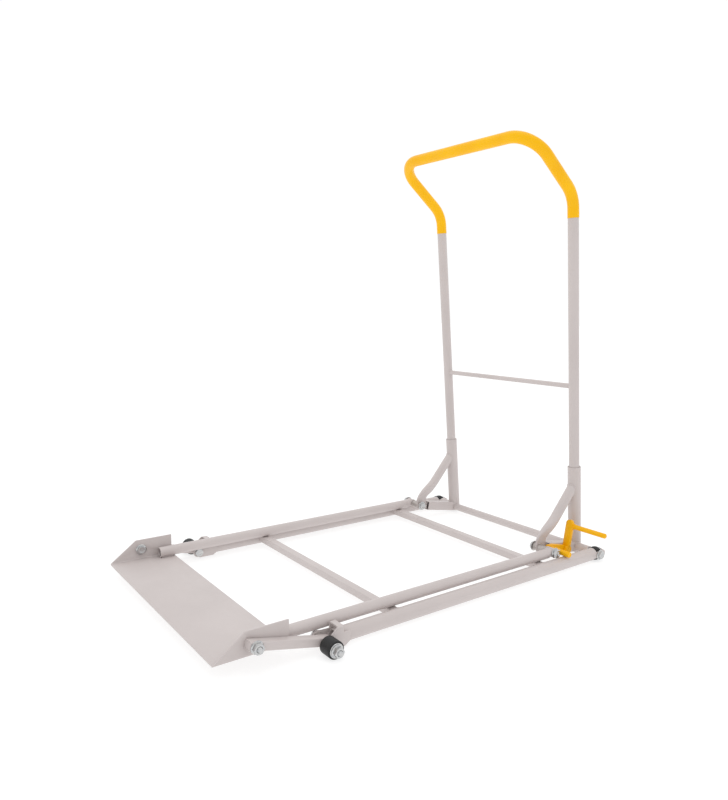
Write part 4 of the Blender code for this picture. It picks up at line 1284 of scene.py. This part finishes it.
@dataclass
class FrontLink(Handed):
    """Square-tube link that carries the toe plate on the front axle."""

    width: float = 0.0195
    height: float = 0.017
    wall: float = 0.002
    corner: float = 0.003
    end: float = 0.013
    lift: float = 0.0008
    bolt_play: float = 0.0014
    plug_play: float = 0.0006
    plug_corner: float = 0.001
    plug_faces: tuple[float, float] = (0.0025, 0.0003)

    def make(self) -> None:
        """Build the link, its front end closed by a plug."""
        along = (DATUM.front_bolt - DATUM.front_axle).normalized()
        middle = DATUM.link_inner + self.width / 2
        x = self.x(middle)
        start = self.at(middle, DATUM.front_axle) - along * self.end + AXIS_Z * self.lift
        stop = self.at(middle, DATUM.front_bolt) + along * self.end + AXIS_Z * self.lift
        wide, high = [size - 2 * self.wall - self.plug_play for size in (self.width, self.height)]
        cap = rounded_rectangle(wide, high, self.plug_corner)
        plug = loft([outlined(stop - along * back, *square_to(along), cap) for back in self.plug_faces])
        build = joined([box_tube(start, stop, self.width, self.height, self.wall, self.corner), plug])
        holes = [drill(x - REACH, x + REACH, DATUM.front_axle, DATUM.bore),
                 drill(x - REACH, x + REACH, DATUM.front_bolt, DATUM.bolt_radius + self.bolt_play)]
        self.fit("square_front_link", "front_link", build, cutters=holes)


@dataclass
class Foot(Handed):
    """The foot of one upright: sleeve, bottom bar, brace, collar and the long bolt."""

    body: str = "handle_frame"
    sleeve_foot: float = -0.009
    sleeve_top: float = 0.212
    sleeve_lip: float = 0.0004
    # Where the lip starts, is full and ends, from the sleeve's top
    lip_steps: tuple[float, float, float] = (0.0036, 0.0028, 0.001)
    mouth: float = 0.0012
    cope_spare: float = 0.11
    box_wall: float = 0.002
    box_corner: float = 0.003
    collar_radius: float = 0.0125
    brace_radius: float = 0.012
    brace_joint: float = 0.1673
    brace_pitch: float = math.radians(49.0)
    press_end: float = 0.0884
    lug_thick: float = 0.005
    lug_front: float = 0.3495
    lug_rear: float = 0.3850
    lug_foot: float = 0.0295
    lug_corner: float = 0.009
    lug_top: float = 0.058
    lug_gap: float = 0.0015
    lug_pull: Vector = Vector((0.0, 0.002, 0.014))
    tube_pull: float = 0.026
    tilt_lead: float = 1.4
    side_spacer: float = 0.0222
    inner_spacer: float = 0.009
    brace_bead: float = 0.0018
    seam_bead: float = 0.0016
    mid_bar_bead: float = 0.0012
    top_bead: float = 0.0017
    lug_bead_away: float = 0.0035
    lug_bead_inset: float = 0.001
    bead_start: float = 0.05

    def make(self) -> None:
        """Build every piece of this foot."""
        self.sleeve()
        self.bottom_bar()
        self.brace()
        self.collar()
        self.long_bolt()

    def cope(self) -> Build:
        """Make what fits a piece to the sleeve.

        Returns:
            The cutter, longer than the sleeve at both ends.
        """
        radius = DATUM.sleeve_radius + WELD_GAP
        section = [(0.0, radius), (self.sleeve_top + self.cope_spare, radius)]
        return turned(DATUM.upright(self.side, -2 * REACH), DATUM.upright_way, section, False, 64)

    def sleeve(self) -> None:
        """Outer tube of the upright, with a rounded lip where the handle tube goes in."""
        length = self.sleeve_top - self.sleeve_foot
        r = DATUM.sleeve_radius
        lip = r + self.sleeve_lip
        inner = DATUM.handle_radius + WELD_GAP
        foot, rise, top = [length - step for step in self.lip_steps]
        section = [(0.0, r - RIM), (RIM, r), (foot, r), (rise, lip), (top, lip), (length, r - RIM)]
        section += [(length, inner + self.mouth), (length - self.mouth, inner), (RIM, inner),
                    (0.0, inner + RIM)]
        build = turned(DATUM.upright(self.side, self.sleeve_foot), DATUM.upright_way, section, True, 56)
        self.fit("round_sleeve", "sleeve", build)

    def bottom_bar(self) -> None:
        """Square tube from the brace's foot back to the sleeve."""
        x, box = self.x(DATUM.upright_x), DATUM.bottom_bar
        along = (DATUM.rear_bolt - DATUM.rear_axle).normalized()
        front = DATUM.rear_bolt - along * (self.lug_rear - DATUM.rear_bolt.y + self.lug_gap)
        build = box_tube(at_x(x, front), at_x(x, DATUM.rear_axle), box, box, self.box_wall, self.box_corner)
        cutters = [self.cope(), drill(x, x + self.x(box), DATUM.rear_axle, self.collar_radius + WELD_GAP),
                   drill(x - self.x(box), x, DATUM.rear_axle, DATUM.cross_radius + WELD_GAP)]
        if self.side is Side.LEFT:
            cutters.append(drill(x - REACH, x + REACH, FootPedal.pin_place(), DATUM.bore))
        self.fit("square_bottom_bar", "bottom_bar", build, cutters=cutters)

    def brace_line(self) -> tuple[Vector, Vector]:
        """Find the centre line of the brace's round part.

        Returns:
            Where it starts, and where it meets the upright's centre line.
        """
        head = DATUM.upright(self.side, self.brace_joint)
        run = head.z - DATUM.rear_axle.z - self.press_end
        return head - Vector((0.0, run / math.tan(self.brace_pitch), run)), head

    def brace_sections(self) -> list[tuple[Vector, Vector, float]]:
        """Work out the brace: a flat lug with a round foot, a bend in which it opens out, and a round tube.

        Returns:
            For each section its middle, its half width as a vector to the rear, and its half thickness.
        """
        x = self.x(DATUM.upright_x)
        middle = (self.lug_front + self.lug_rear) / 2
        half_lug = (self.lug_rear - self.lug_front) / 2
        half_sheet = self.lug_thick / 2
        sections = []
        for i in range(9):
            turn = math.radians(90 * i / 8)
            sections.append((Vector((x, middle, self.lug_foot + self.lug_corner * (1 - math.cos(turn)))),
                             AXIS_Y * (half_lug - self.lug_corner * (1 - math.sin(turn))), half_sheet))
        start, head = self.brace_line()
        knee = Vector((x, middle, self.lug_top))
        pulls = (knee, knee + self.lug_pull, start - (head - start).normalized() * self.tube_pull, start)
        steps = 20
        for i in range(steps + 1):
            s = i / steps
            weights = ((1 - s) ** 3, 3 * s * (1 - s) ** 2, 3 * s * s * (1 - s), s ** 3)
            place = sum((pull * weight for pull, weight in zip(pulls, weights)), Vector())
            share = 0.5 - 0.5 * math.cos(math.pi * s)
            tilt = (math.pi / 2 - self.brace_pitch) * min(1.0, self.tilt_lead * share)
            wide = half_lug + (self.brace_radius - half_lug) * share
            thick = half_sheet + (self.brace_radius - half_sheet) * share
            sections.append((place, Vector((0.0, math.cos(tilt), -math.sin(tilt))) * wide, thick))
        return sections + [(head, sections[-1][1], self.brace_radius)]

    def brace(self) -> None:
        """Round tube whose foot is pressed flat, bent upright and bolted beside the load tube."""
        x = self.x(DATUM.upright_x)
        sides = 48
        rings = []
        for place, half, thick in self.brace_sections():
            back = half.normalized()
            flat = max(half.length - thick, 0.0)
            ring = []
            for i in range(sides):
                turn = math.tau * (i + 0.5) / sides
                rise = math.copysign(flat, math.sin(turn)) + min(thick, half.length) * math.sin(turn)
                ring.append(place + AXIS_X * thick * math.cos(turn) + back * rise)
            rings.append(ring)
        hole = drill(x - 2 * SPARE, x + 2 * SPARE, DATUM.rear_bolt, DATUM.bore)
        self.fit("pressed_brace", "brace", loft(rings), cutters=[self.cope(), hole])

    def collar(self) -> None:
        """Thick collar outside the sleeve, which turns on the rear axle bolt."""
        outer = DATUM.rail_x - DATUM.rail_radius - WELD_GAP
        ends = [self.at(distance, DATUM.rear_axle) for distance in (DATUM.upright_x, outer)]
        build = pipe(*ends, self.collar_radius, DATUM.bore)
        self.fit("turned_collar", "hinge_collar", build, cutters=[self.cope()])

    def long_bolt(self) -> None:
        """Bolt, nut and spacers between the brace's foot and the load tube."""
        lug_in = DATUM.upright_x - self.lug_thick / 2 - WELD_GAP
        lug_out = DATUM.upright_x + self.lug_thick / 2 + WELD_GAP
        start = lug_in - self.inner_spacer
        pivot = Fasteners(self.side, self.body, DATUM.rear_bolt)
        pivot.bolt_and_nut("rear_pivot", start - WELD_GAP, DATUM.tube_x + DATUM.tube_radius + WELD_GAP)
        pivot.spacer("inner_spacer", start, lug_in)
        pivot.spacer("side_spacer", lug_out, lug_out + self.side_spacer)

    def seam(self, centre: Vector, way: Vector, radius: float, bead: float,
             tube: float = DATUM.sleeve_radius, steps: int = 40) -> Build:
        """Lay a bead where a round piece meets the upright.

        Args:
            centre: a point of the piece's axis, well outside the upright.
            way: the direction towards the upright.
            radius: the piece's radius.
            bead: half the bead's width.
            tube: the upright's radius there.
            steps: points round the line.

        Returns:
            The bead.
        """
        return weld_bead([meet(point, way, DATUM.upright(self.side, 0.0), DATUM.upright_way, tube)
                          for point in circle(centre, *square_to(way), radius, steps)], bead)

    def beads(self) -> list[Build]:
        """Lay the beads of the brace, the collar, the cross bar, the mid bar and the bottom bar.

        Returns:
            The beads.
        """
        start, head = self.brace_line()
        outward = AXIS_X * self.side.value
        outside = self.at(DATUM.tube_x, DATUM.rear_axle)
        inside = at_x(0.0, DATUM.rear_axle)
        above = at_x(0.0, DATUM.upright(self.side, DATUM.mid_bar_height))
        return [self.seam(start, head - start, self.brace_radius, self.brace_bead),
                self.seam(outside, -outward, self.collar_radius, self.seam_bead),
                self.seam(inside, outward, DATUM.cross_radius, self.seam_bead),
                self.seam(above, outward, DATUM.mid_bar_radius, self.mid_bar_bead, DATUM.handle_radius, 28),
                *self.bottom_bar_beads()]

    def bottom_bar_beads(self) -> list[Build]:
        """Lay beads across the bottom bar's top at the sleeve and down both sides of the brace's foot.

        Returns:
            The beads.
        """
        way = (DATUM.rear_axle - DATUM.rear_bolt).normalized()
        _, up = square_to(way)
        if up.z < 0:
            up.negate()
        half = DATUM.bottom_bar / 2
        bolt = self.at(DATUM.upright_x, DATUM.rear_bolt)
        start = bolt + way * self.bead_start + up * half
        line = [meet(start + AXIS_X * half * (i / 6 - 1), way, DATUM.upright(self.side, 0.0),
                     DATUM.upright_way, DATUM.sleeve_radius) for i in range(1, 12)]
        beads = [weld_bead(line, self.top_bead, False)]
        front = bolt + way * (self.lug_rear - DATUM.rear_bolt.y)
        rise = up * (half - self.lug_bead_inset)
        for away in (AXIS_X * -self.lug_bead_away, AXIS_X * self.lug_bead_away):
            beads.append(weld_bead([front + rise + away, front - rise + away], self.seam_bead, False))
        return beads


@dataclass
class HandleFrame:
    """Everything that leans back with the handle."""

    tube_wall: float = 0.002
    tube_foot: float = 0.030
    knee_height: float = 0.8616
    knee_angle: float = math.radians(47.1)
    knee_radius: float = 0.069
    arm: float = 0.190
    corner_radius: float = 0.067
    grip_foot: float = 0.811
    grip_skin: float = 0.0005
    grip_edge: float = 0.0003
    cross_wall: float = 0.002
    pin_head: float = 0.002
    # Distance from the end of the pin's head, and its radius there
    pin_dome: tuple[Station, ...] = ((0.0, 0.006), (0.0004, 0.0072), (0.0012, 0.008), (0.002, 0.008))
    pin_tip: float = 0.0006
    pin_sunk: float = 0.001
    body: str = "handle_frame"

    def make(self) -> None:
        """Build the handle frame."""
        feet = [Foot(side) for side in Side]
        for foot in feet:
            foot.make()
        ends = [at_x(x, DATUM.rear_axle) for x in (-DATUM.upright_x, DATUM.upright_x)]
        build = pipe(*ends, DATUM.cross_radius, DATUM.cross_radius - self.cross_wall)
        Piece("round_rear_bar", build, GREY, [foot.cope() for foot in feet]).fit(self.body, "rear_crossbar")
        self.handle()
        self.mid_bar()
        self.pin()
        beads = joined(bead for foot in feet for bead in foot.beads())
        Piece("welds_handle_frame", beads, GREY).fit(self.body)

    def centre_line(self, foot: float, steps: int = 20) -> list[tuple[Vector, Vector]]:
        """Return points and directions of the handle's centre line, from one foot to the other.

        Args:
            foot: height of both feet along the uprights.
            steps: points in each bend.

        Returns:
            Pairs of a point and a direction.
        """
        cos, sin = math.cos(self.knee_angle), math.sin(self.knee_angle)
        set_out = self.knee_radius * math.tan(self.knee_angle / 2)
        x, back = DATUM.upright_x, -DATUM.setback
        half = [((x, back, foot), (0.0, 0.0, 1.0))]
        for i in range(steps + 1):
            turn = self.knee_angle * i / steps
            half.append(((x, back + self.knee_radius * (1 - math.cos(turn)),
                          self.knee_height - set_out + self.knee_radius * math.sin(turn)),
                         (0.0, math.sin(turn), math.cos(turn))))
        run = self.arm - self.corner_radius
        for i in range(steps + 1):
            turn = math.pi / 2 * i / steps
            reach = run + self.corner_radius * math.sin(turn)
            half.append(((x - self.corner_radius * (1 - math.cos(turn)), back + sin * reach,
                          self.knee_height + cos * reach),
                         (-math.sin(turn), sin * math.cos(turn), cos * math.cos(turn))))
        other = [((-p[0], p[1], p[2]), (d[0], -d[1], -d[2])) for p, d in reversed(half)]
        origin = DATUM.leaning(0.0, 0.0, 0.0)
        return [(DATUM.leaning(*p), DATUM.leaning(*d) - origin) for p, d in half + other]

    def sweep(self, foot: float, outer: float, inner: float, edge: float) -> Build:
        """Return a tube along the handle's centre line.

        Args:
            foot: height of both feet along the uprights.
            outer: outer radius.
            inner: inner radius.
            edge: how much its ends are eased.

        Returns:
            The body.
        """
        line = self.centre_line(foot)
        first, way = line[0]
        last, back = line[-1]
        line = [(first, way), (first + way.normalized() * edge, way)] + line[1:-1]
        line += [(last - back.normalized() * edge, back), (last, back)]
        outside, inside = [], []
        up = DATUM.leaning(0.0, 1.0, 0.0) - DATUM.leaning(0.0, 0.0, 0.0)
        for i, (point, direction) in enumerate(line):
            along = direction.normalized()
            up = (up - along * up.dot(along)).normalized()
            across = up.cross(along)
            cut = edge if i in (0, len(line) - 1) else 0.0
            outside.append(circle(point, across, up, outer - cut, 40))
            inside.append(circle(point, across, up, inner, 40))
        return loft(outside + inside[::-1], closed=True)

    def handle(self) -> None:
        """One bent tube, with uprights, knees, corners and top bar, and the vinyl over its upper part."""
        radius = DATUM.handle_radius
        tube = self.sweep(self.tube_foot, radius, radius - self.tube_wall, RIM)
        Piece("bent_handle_tube", tube, GREY).fit(self.body, "handle_tube")
        inner = radius + WELD_GAP
        skin = self.sweep(self.grip_foot, inner + self.grip_skin, inner, self.grip_edge)
        Piece("dipped_grip_sleeve", skin, VINYL).fit(self.body, "grip_sleeve")

    def mid_bar(self) -> None:
        """Thin round bar between the uprights."""
        place = DATUM.upright(Side.LEFT, DATUM.mid_bar_height)
        ends = [at_x(x, place) for x in (-DATUM.upright_x, DATUM.upright_x)]
        build = pipe(*ends, DATUM.mid_bar_radius, sides=32)
        radius = DATUM.handle_radius + WELD_GAP
        copes = [turned(DATUM.upright(side, DATUM.mid_bar_height - REACH), DATUM.upright_way,
                        [(0.0, radius), (2 * REACH, radius)]) for side in Side]
        Piece("round_mid_bar", build, GREY, copes).fit(self.body, "handle_mid_bar")

    def pin(self) -> None:
        """Headed pin on which the pedal turns."""
        r, head = DATUM.bolt_radius, self.pin_head
        start = DATUM.upright_x - DATUM.bottom_bar / 2 - WELD_GAP
        length = FootPedal.inner_x() + FootPedal.width - self.pin_sunk - start + head
        section = [*self.pin_dome, (head, r), (length - self.pin_tip, r), (length, r - self.pin_tip)]
        build = turned(at_x(start - head, FootPedal.pin_place()), AXIS_X, section)
        Piece("turned_pedal_pin", build, ZINC).fit(self.body, "pedal_pin")


@dataclass
class FootPedal:
    """Yellow pedal: flat arm with a boss, foot rod, hook and stub, welded together."""

    width: float = 0.018
    thick: float = 0.009
    length: float = 0.074
    lean: float = math.radians(9.0)
    pivot_reach: float = 0.081
    arm_ease: float = 0.0007
    boss: float = 0.010
    boss_edge: float = 0.0006
    boss_proud: float = 0.0015
    # Where the lid's faces lie, from the boss's outer face
    lid_faces: tuple[float, float] = (-0.0008, 0.0006)
    rod_radius: float = 0.006
    rod_end: float = 0.344
    rod_from_top: float = 0.016
    rod_dome: float = 0.003
    hook_width: float = 0.010
    # Share of the way to the hook's tip, and its height there
    hook_heights: tuple[Station, ...] = ((0.0, 0.0185), (0.75, 0.0150), (1.0, 0.0070))
    hook_gap: float = 0.0025
    hook_rise: float = 0.0050
    hook_corner: float = 0.002
    hook_ease: float = 0.0006
    stub_radius: float = 0.0068
    stub_y: float = 0.3790
    stub_z: float = 0.0396
    stub_length: float = 0.0545
    stub_edge: float = 0.001
    rod_bead: float = 0.0015
    rod_bead_lift: float = 0.0004
    stub_bead: float = 0.0014
    body: str = "foot_pedal"

    @staticmethod
    def pin_place() -> Vector:
        """Return the pedal's pivot, on the bottom bar's centre line."""
        return DATUM.rear_bolt + (DATUM.rear_axle - DATUM.rear_bolt).normalized() * FootPedal.pivot_reach

    @staticmethod
    def inner_x() -> float:
        """Return the distance from the middle to the pedal's inner face."""
        return DATUM.upright_x + DATUM.bottom_bar / 2 + 2 * WELD_GAP

    def arm_point(self, length: float) -> Vector:
        """Return a point of the arm's centre line."""
        pin = self.pin_place()
        return Vector((0.0, pin.y + length * math.sin(self.lean), pin.z + length * math.cos(self.lean)))

    def rod_place(self) -> Vector:
        """Find the foot rod's axis.

        Returns:
            A point of it, on the arm's rear face.
        """
        place = self.arm_point(self.length - self.rod_from_top)
        place.y += self.thick / 2
        return place

    def make(self) -> None:
        """Build the pedal."""
        self.arm()
        self.boss_ring()
        self.rod()
        self.hook()
        self.stub()
        self.welds()

    def arm(self) -> None:
        """Flat bar with a round head, its foot hollowed for the pin."""
        x0, half = self.inner_x(), self.width / 2
        up = (self.arm_point(1.0) - self.arm_point(0.0)).normalized()
        back = AXIS_X.cross(up).normalized()
        outline = [(-half, 0.0), (half, 0.0)] + arc((0.0, self.length - half), half, 0, 180, 24)
        foot = at_x(x0 + half, self.arm_point(0.0))
        deep = back * (self.thick / 2)
        rings = [outlined(middle, AXIS_X, up, outline) for middle in (foot - deep, foot + deep)]
        seat = drill(x0 - SPARE, x0 + self.width + SPARE, self.pin_place(), self.boss - self.boss_proud)
        Piece("flat_pedal_arm", loft(rings), YELLOW, [seat], ease=self.arm_ease).fit(self.body, "pedal_arm")

    def boss_ring(self) -> None:
        """Round boss for the pin, closed by a lid on its outer face."""
        pin, x0 = self.pin_place(), self.inner_x()
        end = x0 + self.width
        ring = pipe(at_x(x0, pin), at_x(end, pin), self.boss, DATUM.bore, self.boss_edge)
        faces = [at_x(end + away, pin) for away in self.lid_faces]
        lid = pipe(*faces, DATUM.bore + WELD_GAP, edge=self.boss_edge / 2)
        Piece("round_pedal_boss", joined([ring, lid]), YELLOW).fit(self.body)

    def rod(self) -> None:
        """Round foot rod with a domed end."""
        start = self.inner_x() + self.width + WELD_GAP
        straight, core = self.rod_end - start - self.rod_dome, self.rod_radius - self.rod_dome
        stations = [(0.0, self.rod_radius)]
        stations += [(straight + self.rod_dome * math.sin(math.radians(a)),
                      core + self.rod_dome * math.cos(math.radians(a))) for a in range(0, 91, 15)]
        build = turned(at_x(start, self.rod_place()), AXIS_X, stations, sides=40)
        Piece("round_foot_rod", build, YELLOW).fit(self.body, "pedal_foot_rod")

    def hook(self) -> None:
        """Flat catch that tapers to its tip, over the long bolt's spacer."""
        x0, pin = self.inner_x(), self.pin_place()
        tip = DATUM.rear_bolt + Vector((0.0, Fasteners.spacer_radius + self.hook_gap, self.hook_rise))
        start = at_x(x0 + self.hook_width / 2, pin)
        end = at_x(x0 + self.hook_width / 2, tip)
        ways = square_to(end - start)
        rings = []
        for share, height in self.hook_heights:
            outline = rounded_rectangle(self.hook_width, height, self.hook_corner)
            rings.append(outlined(start.lerp(end, share), *ways, outline))
        seat = drill(x0 - SPARE, x0 + self.hook_width + SPARE, pin, self.boss + WELD_GAP)
        made = Piece("flat_pedal_hook", loft(rings), YELLOW, [seat], ease=self.hook_ease)
        made.fit(self.body, "pedal_hook")

    def stub_foot(self) -> Vector:
        """Return the end of the stub's centre line that meets the hook."""
        return Vector((self.inner_x() + self.hook_width + WELD_GAP, self.stub_y, self.stub_z))

    def stub(self) -> None:
        """Short round stop from the catch out over the rail."""
        foot = self.stub_foot()
        end = foot + AXIS_X * self.stub_length
        build = pipe(foot, end, self.stub_radius, edge=self.stub_edge, sides=40)
        Piece("round_pedal_stub", build, YELLOW).fit(self.body, "pedal_stub")

    def welds(self) -> None:
        """Beads where the rod meets the arm and the stub meets the hook."""
        spot = at_x(self.inner_x() + self.width + self.rod_bead_lift, self.rod_place())
        beads = [weld_bead(circle(place, AXIS_Y, AXIS_Z, radius, 28), bead) for place, radius, bead in (
            (spot, self.rod_radius, self.rod_bead), (self.stub_foot(), self.stub_radius, self.stub_bead))]
        Piece("welds_pedal", joined(beads), YELLOW).fit(self.body)


@dataclass
class Studio:
    """A lit white table in a white room, darker behind the photographer, under one overhead softbox."""

    floor_size: float = 60.0
    table_colour: str = "A0A0A0"
    table_glow: float = 0.73
    room_white: float = 1.02
    room_dim: float = 0.80
    falloff: tuple[float, float] = (-0.7, 0.3)
    bright_way: Vector = field(default_factory=lambda: Vector((-0.70, 0.51, 0.50)).normalized())
    softbox_place: tuple[float, float, float] = (-0.1, 0.1, 3.0)
    softbox_size: float = 2.6
    softbox_power: float = 10.0

    def make(self) -> None:
        """Build the table, the room and the softbox."""
        self.table()
        self.room()
        light = bpy.data.lights.new("overhead_softbox", "AREA")
        light.shape = "SQUARE"
        light.size = self.softbox_size
        light.energy = self.softbox_power
        placed("overhead_softbox", light).location = self.softbox_place
        settings = bpy.context.scene.view_settings
        settings.view_transform = "Standard"
        settings.look = "None"

    def table(self) -> None:
        """Frosted acrylic lit from below, which reads as white paper and swallows most of the shadow."""
        half = self.floor_size / 2
        corners = [(-half, -half, 0.0), (half, -half, 0.0), (half, half, 0.0), (-half, half, 0.0)]
        mesh = bpy.data.meshes.new("studio_table")
        mesh.from_pydata(corners, [], [(0, 1, 2, 3)])
        made = placed("studio_table", mesh)
        material = bpy.data.materials.new("frosted_acrylic_table")
        material.use_nodes = True
        sockets = material.node_tree.nodes["Principled BSDF"].inputs
        for name, value in (("Base Color", linear(self.table_colour)), ("Roughness", 0.9),
                            ("Specular IOR Level", 0.1), ("Emission Color", WHITE),
                            ("Emission Strength", self.table_glow)):
            sockets[name].default_value = value
        mesh.materials.append(material)

    def room(self) -> None:
        """White walls and ceiling that fall off to grey on the photographer's side."""
        world = bpy.data.worlds.new("white_room")
        world.use_nodes = True
        tree = world.node_tree
        way = add_node(tree, "ShaderNodeTexCoord").outputs["Generated"]
        facing = add_node(tree, "ShaderNodeVectorMath", {0: way, 1: self.bright_way},
                          operation="DOT_PRODUCT")
        level = add_node(tree, "ShaderNodeMapRange", {
            "Value": facing.outputs["Value"], "From Min": self.falloff[0], "From Max": self.falloff[1],
            "To Min": self.room_dim, "To Max": self.room_white}, interpolation_type="SMOOTHSTEP")
        tree.links.new(level.outputs["Result"], tree.nodes["Background"].inputs["Strength"])
        tree.nodes["Background"].inputs["Color"].default_value = WHITE
        bpy.context.scene.world = world


@dataclass
class PhotoCamera:
    """The photograph's view, as a plain pinhole."""

    place: Vector = field(default_factory=lambda: Vector((1.25658, -0.94408, 0.60341)))
    yaw: float = math.radians(53.4777)
    pitch: float = math.radians(9.5709)
    roll: float = math.radians(0.8718)
    focal_px: float = 684.86
    centre_y_px: float = 427.10
    frame_tall_px: int = 800

    def make(self) -> None:
        """Place the camera."""
        flat = math.cos(self.pitch)
        ahead = Vector((-math.sin(self.yaw) * flat, math.cos(self.yaw) * flat, -math.sin(self.pitch)))
        level = ahead.cross(AXIS_Z).normalized()
        above = level.cross(ahead)
        right = level * math.cos(self.roll) + above * math.sin(self.roll)
        up = above * math.cos(self.roll) - level * math.sin(self.roll)
        data = bpy.data.cameras.new("photo_camera")
        data.sensor_fit = "AUTO"
        data.sensor_width = 36.0
        data.lens = self.focal_px / self.frame_tall_px * data.sensor_width
        data.shift_y = (self.centre_y_px - self.frame_tall_px / 2) / self.frame_tall_px
        data.clip_end = 200.0
        made = placed("photo_camera", data)
        turn = Matrix((right, up, -ahead)).transposed().to_4x4()
        made.matrix_world = Matrix.Translation(self.place) @ turn
        bpy.context.scene.camera = made


def main() -> None:
    """Dress the whole aid and set up the studio."""
    logging.basicConfig(level=logging.INFO, format="%(message)s")
    makers = [PhotoCamera(), Studio(), BaseFrame(), *(Rollers(side) for side in Side), LiftFrame(),
              *(FrontLink(side) for side in Side), HandleFrame(), FootPedal()]
    for maker in makers:
        maker.make()
        LOG.info("%s done", type(maker).__name__)


if __name__ == "__main__":
    main()
